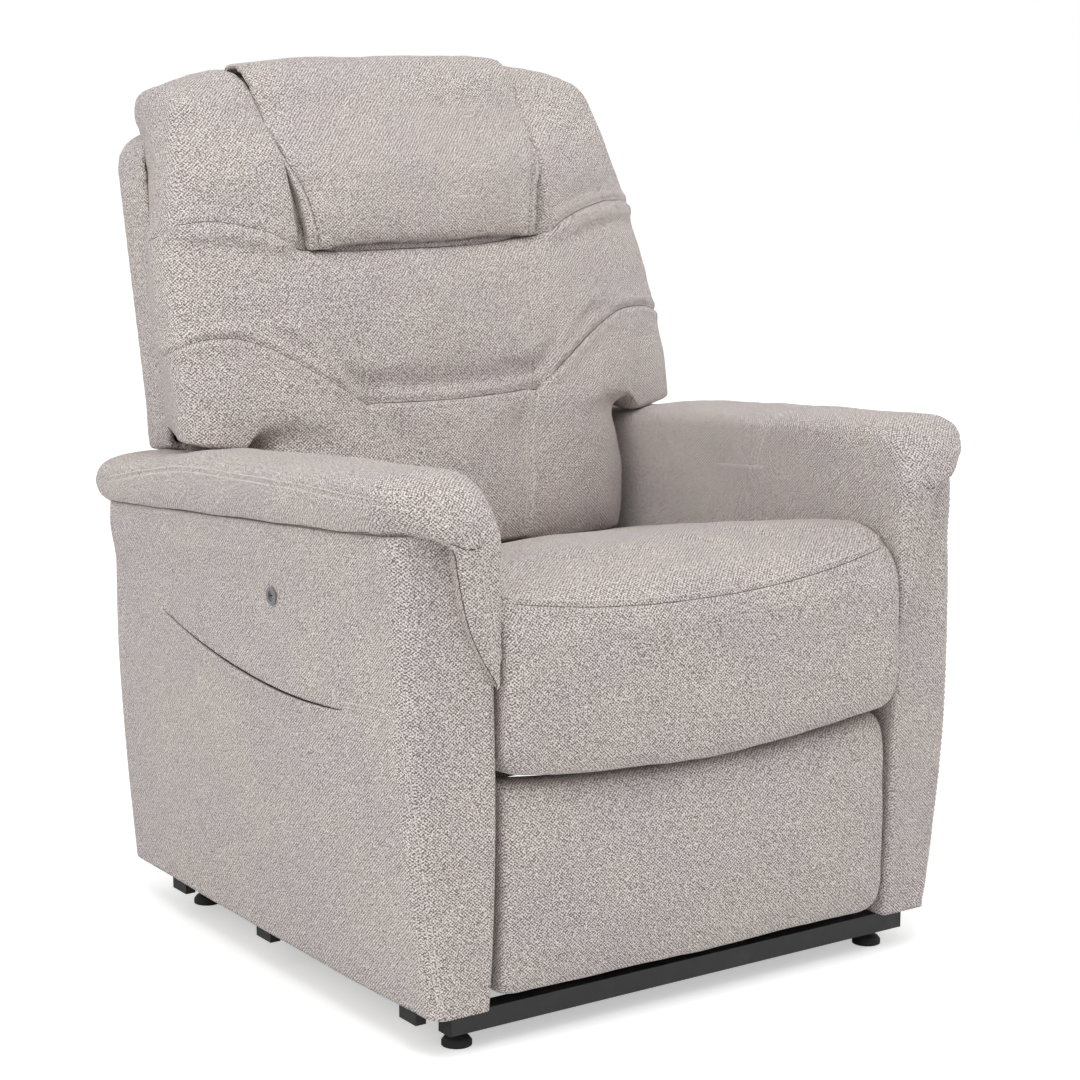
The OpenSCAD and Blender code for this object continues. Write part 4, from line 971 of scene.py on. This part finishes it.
class CHAIR_OT_seat(bpy.types.Operator):
    """Upholsters the seat with its seam over the front edge"""

    bl_idname = "chair.seat"
    bl_label = "Seat cushion"

    def execute(self, context):
        padding, sewing = context.scene.chair_padding, context.scene.chair_sewing
        cover = new_object("seat_cover", node_mesh("seat_cushion"))
        remeshed(cover, padding.grain, 3)
        route = [(x, seat_seam(x)) for x in range(-284, 285, 71)]
        needle = Needle(cover)
        held = np.clip(np.abs(needle.normals[:, 0]) * 1.6 - 0.2, 0, 1)
        held = np.maximum(held, np.clip(-needle.normals[:, 2] * 2, 0, 1))
        held = np.maximum(held, np.clip((needle.points[:, 1] - 0.10) / 0.08, 0, 1))
        needle.pin(held, trace(needle.surface, route, "+y", BEFORE_SEAT))
        low = np.clip((0.50 - needle.points[:, 2]) / 0.02, 0, 1)
        swell(cover, np.maximum(held, low))
        subdivided(cover)
        needle = Needle(cover)
        seam = trace(needle.surface, route, "+y", BEFORE_SEAT)
        needle.seam(seam, 2.6 * MM, sewing.seam_w, 2.5 * MM, 30 * MM, 16 * MM)
        for places in SEAT_CREASES:
            path = trace(needle.surface, places, "-z", OVER_SEAT)
            needle.valley(path, 3.4 * MM, 8 * MM, 35 * MM)
        hollow = trace(needle.surface, SEAT_HOLLOW, "-z", OVER_SEAT)
        needle.valley(hollow, 7 * MM, 34 * MM, 90 * MM)
        needle.unrest(3 * MM, 0.12, 1)
        needle.unrest(0.8 * MM, 0.035, 6)
        surface = needle.done()
        dress(cover, "woven_cloth", "chassis", replaces=["seat_cushion"])
        stitched("seat_stitching", surface, [beside(seam, 7 * MM)], "chassis")
        # Painted shadow: a dark cord in the crease of the seat's front seam
        painted_shadow_lines("seat_painted_shadows", surface, [seam], "chassis")
        return {"FINISHED"}


class CHAIR_OT_footrest(bpy.types.Operator):
    """Upholsters the footrest"""

    bl_idname = "chair.footrest"
    bl_label = "Footrest pad"

    def execute(self, context):
        padding = context.scene.chair_padding
        cover = new_object("footrest_cover", node_mesh("legrest_pad"))
        remeshed(cover, padding.fine, 3)
        needle = Needle(cover)
        swell(cover, np.clip(1.2 + needle.normals[:, 1] * 1.4, 0, 1), 7 * MM)
        subdivided(cover)
        needle = Needle(cover)
        needle.unrest(3 * MM, 0.13, 14)
        needle.unrest(0.8 * MM, 0.035, 16)
        needle.done()
        dress(cover, "woven_cloth", "legrest_board", replaces=["legrest_pad"])
        return {"FINISHED"}


# Seams of an arm pad: the edge of its top, the joint of its side band, the lip under its front
# corner and the seam across its inner side
PAD_EDGE = [
    (421, 285, 578), (420, 170, 605), (417, 70, 621), (418, -60, 631), (420, -210, 641),
    (420, -325, 646), (405, -403, 648), (370, -425, 638), (348, -434, 624), (338, -440, 602),
    (322, -437, 580), (312, -434, 547), (307, -431, 507), (299, -427, 454)]
PAD_BOX = [(420, -380, 638), (423, -379, 612), (420, -378, 588)]
PAD_LIP = [(362, -432, 599), (345, -438, 596), (327, -441, 597), (318, -440, 602)]
PAD_CROSS = [(330, -172, 668), (307, -163, 648), (293, -151, 622), (293, -142, 594),
             (292, -141, 568), (292, -142, 500)]
# The end of a pad that runs down the arm's inner front corner: its tip, its top and its inner edge
TONGUE_TIP, TONGUE_TOP, TONGUE_INNER = 430, 604, 290.5


def tongue(t):
    """Height and width of the end of a pad, t of the way up from its tip"""
    return TONGUE_TIP + (TONGUE_TOP - TONGUE_TIP) * t, 2 + 54 * (1 - (1 - t) ** 2.2)


class CHAIR_OT_pads(bpy.types.Operator):
    """Upholsters the arm pads, which roll over the front of the arms"""

    bl_idname = "chair.pads"
    bl_label = "Arm pads"

    def execute(self, context):
        padding, sewing = context.scene.chair_padding, context.scene.chair_sewing
        for side, word in ((-1, "right"), (1, "left")):
            form = ArmForm(context.scene.chair_arm, side)
            bm = node_mesh(f"{word}_arm_pad")
            self.inner_panel(bm, form)
            self.waterfall(bm, form)
            pad = new_object(f"{word}_arm_pad_cover", bm)
            remeshed(pad, padding.fine, 3)
            subdivided(pad)
            points = points_of(pad)
            crown = above(points[:, 2], 590, 40)
            points[:, 2] += 7 * MM * crown * below(points[:, 1], 200, 120)
            put_points(pad, points)
            needle = Needle(pad)
            edge, box, lip, cross = (
                drape(needle.surface, places, side)
                for places in (PAD_EDGE, PAD_BOX, PAD_LIP, PAD_CROSS))
            front = edge[len(edge) // 2:]
            needle.seam(edge, 1.2 * MM, sewing.seam_w)
            needle.gathers(front, 4.5 * MM, 26 * MM, 7 * MM, 41)
            needle.seam(box, 0.9 * MM, sewing.seam_w)
            needle.seam(lip, 2.4 * MM, sewing.seam_w, 1.5 * MM, 15 * MM, 8 * MM)
            needle.seam(cross, 0.8 * MM, sewing.seam_w)
            needle.unrest(2.2 * MM, 0.09, 44)
            needle.unrest(0.7 * MM, 0.03, 45)
            surface = needle.done()
            dress(pad, "woven_cloth", "chassis", replaces=[f"{word}_arm_pad"])
            rows = [beside(path, s * 3.5 * MM) for path in (edge, cross) for s in (-1, 1)]
            stitched(f"{word}_pad_stitching", surface, rows, "chassis")
            # Painted shadow: dark cords under the pad's front lip, under its outer side and along the
            # edge of its end
            joints = [drape(surface, places, side) for places in self.joints(form)]
            painted_shadow_lines(f"{word}_pad_painted_shadows", surface, [lip, *joints], "chassis", 1.6)
        return {"FINISHED"}

    @staticmethod
    def joints(form):
        """Where the pad meets the arm, under its outer side and along the outer edge of its end: the
        paths of the painted shadow there
        """
        under = [(417, y, form.top(y * MM) / MM + 3) for y in range(300, -400, -50)]
        edge = []
        for k in range(9):
            z, wide = tongue(k / 8)
            edge.append((TONGUE_INNER + wide, form.front_at(z * MM) / MM - 4 - 6 * k / 8, z))
        return under, edge

    @staticmethod
    def waterfall(bm, form):
        """The end of the pad that runs down the arm's inner front corner to a point"""
        made = bmesh.ops.create_grid(bm, x_segments=8, y_segments=30, size=0.5)
        for vertex in made["verts"]:
            u, t = vertex.co.x + 0.5, vertex.co.y + 0.5
            z, wide = tongue(t)
            proud = 7 + 9 * t + 5 * math.sin(math.pi * u)
            x = TONGUE_INNER + wide * u
            vertex.co = (form.side * x * MM, form.front_at(z * MM) - proud * MM, z * MM)
        faces = list({f for v in made["verts"] for f in v.link_faces})
        thicken(bm, faces, (0, 26 * MM, 0))

    @staticmethod
    def inner_panel(bm, form):
        """The side of the pad that hangs down to the seat, as one with its top"""
        made = bmesh.ops.create_cube(bm, size=1.0)
        for vertex in made["verts"]:
            x, y, z = vertex.co
            reach = 12 * MM - form.s.front if y < 0 else form.s.rear
            top = form.top(reach) + 40 * MM
            vertex.co = (
                form.side * (297 + 10 * x * form.side) * MM, reach, top if z > 0 else 440 * MM)


class ArmForm:
    """The outside of an arm, in the same shape as its solid"""

    def __init__(self, sizes, side):
        self.s, self.side = sizes, side
        self.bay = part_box("left_arm_shell")[0].x
        self.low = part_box("left_arm_shell")[0].z
        # Round the arm from its inner front corner: each corner's centre, radii, angles and steps,
        # across and along the arm, and the steps of the straight side that follows it
        corners = [
            ((0.10, 0.012), (0.10, 0.012), 180, 270, 5), ((0.78, 0.034), (0.22, 0.034), 270, 360, 10),
            ((0.80, 0.972), (0.20, 0.028), 0, 90, 6), ((0.10, 0.988), (0.10, 0.012), 90, 180, 4)]
        straights = [36, 170, 16, 40]
        self.plan = []
        for k, (centre, radii, start, end, steps) in enumerate(corners):
            arc = [self.on_arc(centre, radii, start + (end - start) * n / steps)
                   for n in range(steps + 1)]
            self.plan += arc
            goal = self.on_arc(*corners[(k + 1) % 4][:3])
            for n in range(1, straights[k]):
                t = n / straights[k]
                self.plan.append(tuple(arc[-1][m] + (goal[m] - arc[-1][m]) * t for m in (0, 1)))
        self.plan.append(self.plan[0])

    @staticmethod
    def on_arc(centre, radii, degrees):
        a = math.radians(degrees)
        return centre[0] + radii[0] * math.cos(a), centre[1] + radii[1] * math.sin(a)

    def top(self, y):
        """Height of the arm's top, under its pad, at a place along it"""
        s = self.s
        t = (y + s.front) / (s.front + s.rear)
        return s.top_front + (s.top_rear - s.top_front) * t

    def front_at(self, z):
        """Place of the arm's inner front edge at a height"""
        s = self.s
        return -s.front - s.front_bow * (1 - ((z - 330 * MM) / (290 * MM)) ** 2) + 1.3 * MM

    def place(self, p, q, t):
        """p across, q along and t up the arm, each from 0 to 1"""
        s, tall = self.s, 548 * MM
        z = self.low + (s.top_front - self.low) * t
        rise = min(1, max(0, (z - self.low) / tall))
        fall = min(1, max(0, (s.top_front - z) / tall))
        out = s.low_out + s.swell * (1 - ((z - s.swell_z) / (s.swell_z - self.low)) ** 2)
        out += s.flush * smooth((z - 512 * MM) / (70 * MM)) - 5 * MM * (2 * q - 1) ** 2
        inner_front = self.front_at(z)
        outer_front = -s.front + s.lean * rise ** 3
        front = inner_front + (outer_front - inner_front) * p
        rear = s.rear + s.rear_lean * fall ** 3
        x = self.bay + (out - self.bay) * p
        y = front + (rear - front) * q
        z = self.low + (self.top(y) + s.lap - self.low) * t
        return Vector((self.side * x, y, z))


# Seams and soft folds of an arm's outer side
SIDE_SEAM = [(402, -391, 373), (398, -395, 316), (389, -400, 235), (379, -403, 152), (366, -404, 60)]
POCKET_END = [(407, -273, 393), (407, -300, 397), (406, -345, 402), (405, -378, 397)] + SIDE_SEAM
PLAIN_END = [(404, -384, 575), (403, -384, 480)] + SIDE_SEAM
SIDE_FOLDS = [
    [(398, -245, 300), (388, -239, 190), (378, -232, 70)],
    [(403, -141, 335), (399, -126, 285), (394, -116, 236)],
    [(404, -95, 350), (400, -84, 300), (396, -80, 262)],
]


def mouth_z(y):
    """Height of the pocket's mouth at y, in millimetres as y is"""
    return 386 + 19 * ((y + 150) / 210) ** 2


class CHAIR_OT_arms(bpy.types.Operator):
    """Covers the arms, with the mouth of the side pocket on the right one"""

    bl_idname = "chair.arms"
    bl_label = "Arms"

    def execute(self, context):
        arm, sewing = context.scene.chair_arm, context.scene.chair_sewing
        for side, word in ((-1, "right"), (1, "left")):
            pocket = side < 0
            cover = self.skin(ArmForm(arm, side), f"{word}_arm_cover")
            needle = Needle(cover)
            seam = drape(needle.surface, POCKET_END if pocket else PLAIN_END, side)
            needle.seam(seam, 1.3 * MM, sewing.seam_w, 1.2 * MM, 30 * MM, 14 * MM)
            for fold in SIDE_FOLDS:
                needle.valley(drape(needle.surface, fold, side), 2.0 * MM, 11 * MM, 50 * MM)
            if pocket:
                places = [(402, y, mouth_z(y)) for y in range(170, -290, -40)]
                mouth = drape(needle.surface, places, side)
                needle.valley(beside(mouth, -7 * MM), -2.2 * MM, 6 * MM, 40 * MM)
                needle.valley(beside(mouth, 6 * MM), 1.2 * MM, 6 * MM, 40 * MM)
            needle.unrest(2.0 * MM, 0.16, 50 + side)
            surface = needle.done()
            walled(cover, arm.wall)
            if pocket:
                self.cut_mouth(cover, arm.mouth)
            dress(cover, "woven_cloth", "chassis", replaces=[f"{word}_arm_shell"])
            rows = [beside(seam, -side * s * MM) for s in (3, 9)]
            stitched(f"{word}_arm_stitching", surface, rows, "chassis")
        return {"FINISHED"}

    @staticmethod
    def skin(form, name):
        """The arm's closed outside, open below"""
        plan, rows = form.plan, 132

        def place(i, j):
            return form.place(*plan[i], j / rows)

        bm = sheet_mesh(len(plan) - 1, rows, place, closed=True)
        rim = [e for e in bm.edges if e.is_boundary and min(v.co.z for v in e.verts) > 0.4]
        made = bmesh.ops.holes_fill(bm, edges=rim, sides=0)
        bmesh.ops.triangulate(bm, faces=made["faces"])
        face_outwards(bm)
        return new_object(name, bm)

    @staticmethod
    def cut_mouth(cover, gap):
        """Cuts a curved slit, which narrows to nothing at both its ends"""
        steps, start, end = 60, 168, -272
        outside, deep = -430 * MM, 45 * MM

        def place(i, j):
            y = start + (end - start) * i / steps
            half = gap / 2 * math.sin(math.pi * i / steps) ** 0.35 + 0.2 * MM
            return Vector((outside, y * MM, mouth_z(y) * MM + (half if j else -half)))

        bm = sheet_mesh(steps, 1, place)
        thicken(bm, bm.faces[:], (deep, 0, 0))
        carve(cover, new_object("mouth_knife", bm))


class CHAIR_OT_outer_back(bpy.types.Operator):
    """Covers the rear shell of the back, with its rim forward to the wings and its step lower"""

    bl_idname = "chair.outer_back"
    bl_label = "Outer back"

    def execute(self, context):
        cover = new_object("outer_back_cover", node_mesh("outer_back"))
        remeshed(cover, 5 * MM, 2)
        points = points_of(cover)
        forward = points @ np.array([0, -math.cos(BACK_SLOPE), math.sin(BACK_SLOPE)])
        rim = above(forward - forward.max(), -22, 18) * above(points[:, 2], 600, 30)
        high = above(points[:, 2], 720, 60) * below(points[:, 2], 1060, 40)
        points[:, 1] -= (11 + 11 * high) * MM * rim
        step = below(points[:, 2], 665, 25) * above(np.abs(points[:, 0]), 296, 12)
        points[:, 2] -= 24 * MM * step
        put_points(cover, points)
        dress(cover, "woven_cloth", "backrest", replaces=["outer_back"])
        return {"FINISHED"}


class CHAIR_OT_socket(bpy.types.Operator):
    """Makes the insert of the charging socket, with its slot and tongue"""

    bl_idname = "chair.socket"
    bl_label = "Charging socket"

    def execute(self, context):
        low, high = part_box("usb_socket")
        middle = (low + high) / 2
        r = (high.z - low.z) / 2
        bm = bmesh.new()
        bmesh.ops.create_cone(
            bm, cap_ends=True, segments=64, radius1=r, radius2=r, depth=high.x - low.x)
        bmesh.ops.rotate(bm, verts=bm.verts, matrix=Matrix.Rotation(math.pi / 2, 3, "Y"))
        bmesh.ops.translate(bm, verts=bm.verts, vec=middle)
        face = [e for e in bm.edges if max(v.co.x for v in e.verts) < low.x + MM / 2]
        bmesh.ops.bevel(
            bm, geom=face, offset=0.5 * MM, affect="EDGES", segments=3, profile=0.5, material=-1)
        insert = new_object("charging_socket", bm)
        eye = Vector((low.x, middle.y, middle.z))
        carve(insert, new_object("slot_knife", self.block(eye, 3.5, (9, 11, 5))))
        dress(insert, "bezel_plastic", "chassis", replaces=["usb_socket"])
        bm = self.block(eye, 4.4, (8, 10.9, 4.9))
        bm.normal_update()
        bmesh.ops.delete(bm, geom=[f for f in bm.faces if f.normal.x < -0.5], context="FACES")
        lining = new_object("socket_lining", bm)
        walled(lining, 0.4 * MM)
        dress(lining, "motor_plastic", "chassis")
        blade = new_object("socket_tongue", self.block(eye, 4.5, (7, 8.6, 1.6)))
        dress(blade, "tube_plastic", "chassis")
        return {"FINISHED"}

    @staticmethod
    def block(eye, deep, size):
        """A block whose middle lies deep behind the socket's face; both are in millimetres"""
        bm = bmesh.new()
        bmesh.ops.create_cube(bm, size=1.0)
        bmesh.ops.scale(bm, verts=bm.verts, vec=[s * MM for s in size])
        bmesh.ops.translate(bm, verts=bm.verts, vec=eye + Vector((deep * MM, 0, 0)))
        return bm


NODE_FINISH = {
    "frame_black": "black_powder_coat",
    "zinc_steel": "zinc_plate",
    "foot_plastic": "foot_plastic",
    "motor_plastic": "motor_plastic",
    "tube_plastic": "tube_plastic",
    "bezel_plastic": "bezel_plastic",
    "rubber_pad": "rubber",
    "timber": "sawn_timber",
    "main_fabric": "woven_cloth",
    "lining_fabric": "pocket_lining",
}


class CHAIR_OT_frame_finish(bpy.types.Operator):
    """Gives each node of the frame its painted, plated, moulded or sawn finish"""

    bl_idname = "chair.frame_finish"
    bl_label = "Frame finishes"

    def execute(self, context):
        for part in frame["record"]["subparts"]:
            obj = frame["nodes"][part["node"]]
            obj.data.materials.clear()
            obj.data.materials.append(material(NODE_FINISH[part["material_slot"]]))
        return {"FINISHED"}


class CHAIR_OT_stage(bpy.types.Operator):
    """Sets up the pale floor, the soft studio light and the camera"""

    bl_idname = "chair.stage"
    bl_label = "Studio"

    def execute(self, context):
        scene, studio = context.scene, context.scene.chair_studio
        scene.view_settings.view_transform = "Standard"
        eye = bpy.data.cameras.new("studio_camera")
        eye.sensor_width, eye.lens = 36, studio.lens
        eye.clip_start, eye.clip_end = 0.05, 60
        camera = bpy.data.objects.new("studio_camera", eye)
        camera.location = studio.eye
        camera.rotation_euler = (math.pi / 2 - studio.dip, 0, studio.turn)
        scene.collection.objects.link(camera)
        scene.camera = camera
        bm = bmesh.new()
        bmesh.ops.create_grid(bm, x_segments=1, y_segments=1, size=14)
        floor = new_object("studio_floor", bm)
        floor.data.materials.append(self.floor_paint())
        scene.world = self.sky(studio.sky)
        self.lamp(scene, "key_lamp", (-1.0, -1.6, 4.2), 2.8, studio.key)
        self.lamp(scene, "fill_lamp", (3.2, -1.4, 2.2), 2.4, studio.fill)
        self.lamp(scene, "side_lamp", (-3.6, -0.6, 2.3), 2.4, studio.side)
        return {"FINISHED"}

    @staticmethod
    def floor_paint():
        b = Build("studio_floor_paint")
        fade = b.noise(b.object_place(), 1.4, 2.0)
        shade = b.mix(fade, (0.86, 0.86, 0.865), (0.88, 0.88, 0.88))
        paint = b.node("ShaderNodeBsdfDiffuse", None, {"Color": shade})
        seen = b.node("ShaderNodeLightPath") * 0.46
        glow = b.node("ShaderNodeEmission", None, {"Color": (1, 1, 1, 1), "Strength": seen})
        both = b.node("ShaderNodeAddShader", None, {0: paint, 1: glow})
        b.node("ShaderNodeOutputMaterial", None, {"Surface": both})
        return b.owner

    @staticmethod
    def sky(strength):
        """Soft light all round; the camera, shiny pieces and clear ones see it white"""
        b = Build("studio_sky", "worlds")
        camera, glossy, clear = b.outputs(
            b.node("ShaderNodeLightPath"), "Is Camera Ray", "Is Glossy Ray", "Is Transmission Ray")
        seen = camera.math("MAXIMUM", glossy).math("MAXIMUM", clear)
        light, white = (
            b.node("ShaderNodeBackground", None, {"Color": (1, 1, 1, 1), "Strength": power})
            for power in (strength, 1.0))
        mixed = b.node("ShaderNodeMixShader", None, {0: seen, 1: light, 2: white})
        b.node("ShaderNodeOutputWorld", None, {"Surface": mixed})
        return b.owner

    @staticmethod
    def lamp(scene, name, place, size, power):
        data = bpy.data.lights.new(name, "AREA")
        data.shape, data.size, data.energy = "DISK", size, power
        lamp = bpy.data.objects.new(name, data)
        lamp.location = place
        aim = Vector((0, 0, 0.5)) - Vector(place)
        lamp.rotation_euler = aim.to_track_quat("-Z", "Y").to_euler()
        scene.collection.objects.link(lamp)


class CHAIR_PT_panel(bpy.types.Panel):
    """Lists the pieces of the chair"""

    bl_idname = "CHAIR_PT_panel"
    bl_label = "Lift recliner chair"
    bl_space_type = "VIEW_3D"
    bl_region_type = "UI"
    bl_category = "Lift Chair"

    def draw(self, context):
        for operator in OPERATORS:
            self.layout.operator(operator.bl_idname)
        for name, _ in GROUPS:
            group = getattr(context.scene, name)
            box = self.layout.box()
            for key in group.bl_rna.properties.keys():
                if key not in ("rna_type", "name"):
                    box.prop(group, key)


GROUPS = [
    ("chair_cloth", ChairCloth),
    ("chair_sewing", ChairSewing),
    ("chair_padding", ChairPadding),
    ("chair_arm", ChairArm),
    ("chair_studio", ChairStudio),
]
OPERATORS = [
    CHAIR_OT_frame_finish,
    CHAIR_OT_arms,
    CHAIR_OT_pads,
    CHAIR_OT_seat,
    CHAIR_OT_footrest,
    CHAIR_OT_back,
    CHAIR_OT_pillow,
    CHAIR_OT_outer_back,
    CHAIR_OT_socket,
    CHAIR_OT_stage,
]
CLASSES = [group for _, group in GROUPS] + OPERATORS + [CHAIR_PT_panel]


def register():
    for cls in CLASSES:
        bpy.utils.register_class(cls)
    for name, group in GROUPS:
        setattr(bpy.types.Scene, name, bpy.props.PointerProperty(type=group))


def unregister():
    for name, _ in GROUPS:
        delattr(bpy.types.Scene, name)
    for cls in reversed(CLASSES):
        bpy.utils.unregister_class(cls)


def main():
    register()
    for operator in OPERATORS:
        group, name = operator.bl_idname.split(".")
        getattr(getattr(bpy.ops, group), name)()


if __name__ == "__main__":
    main()
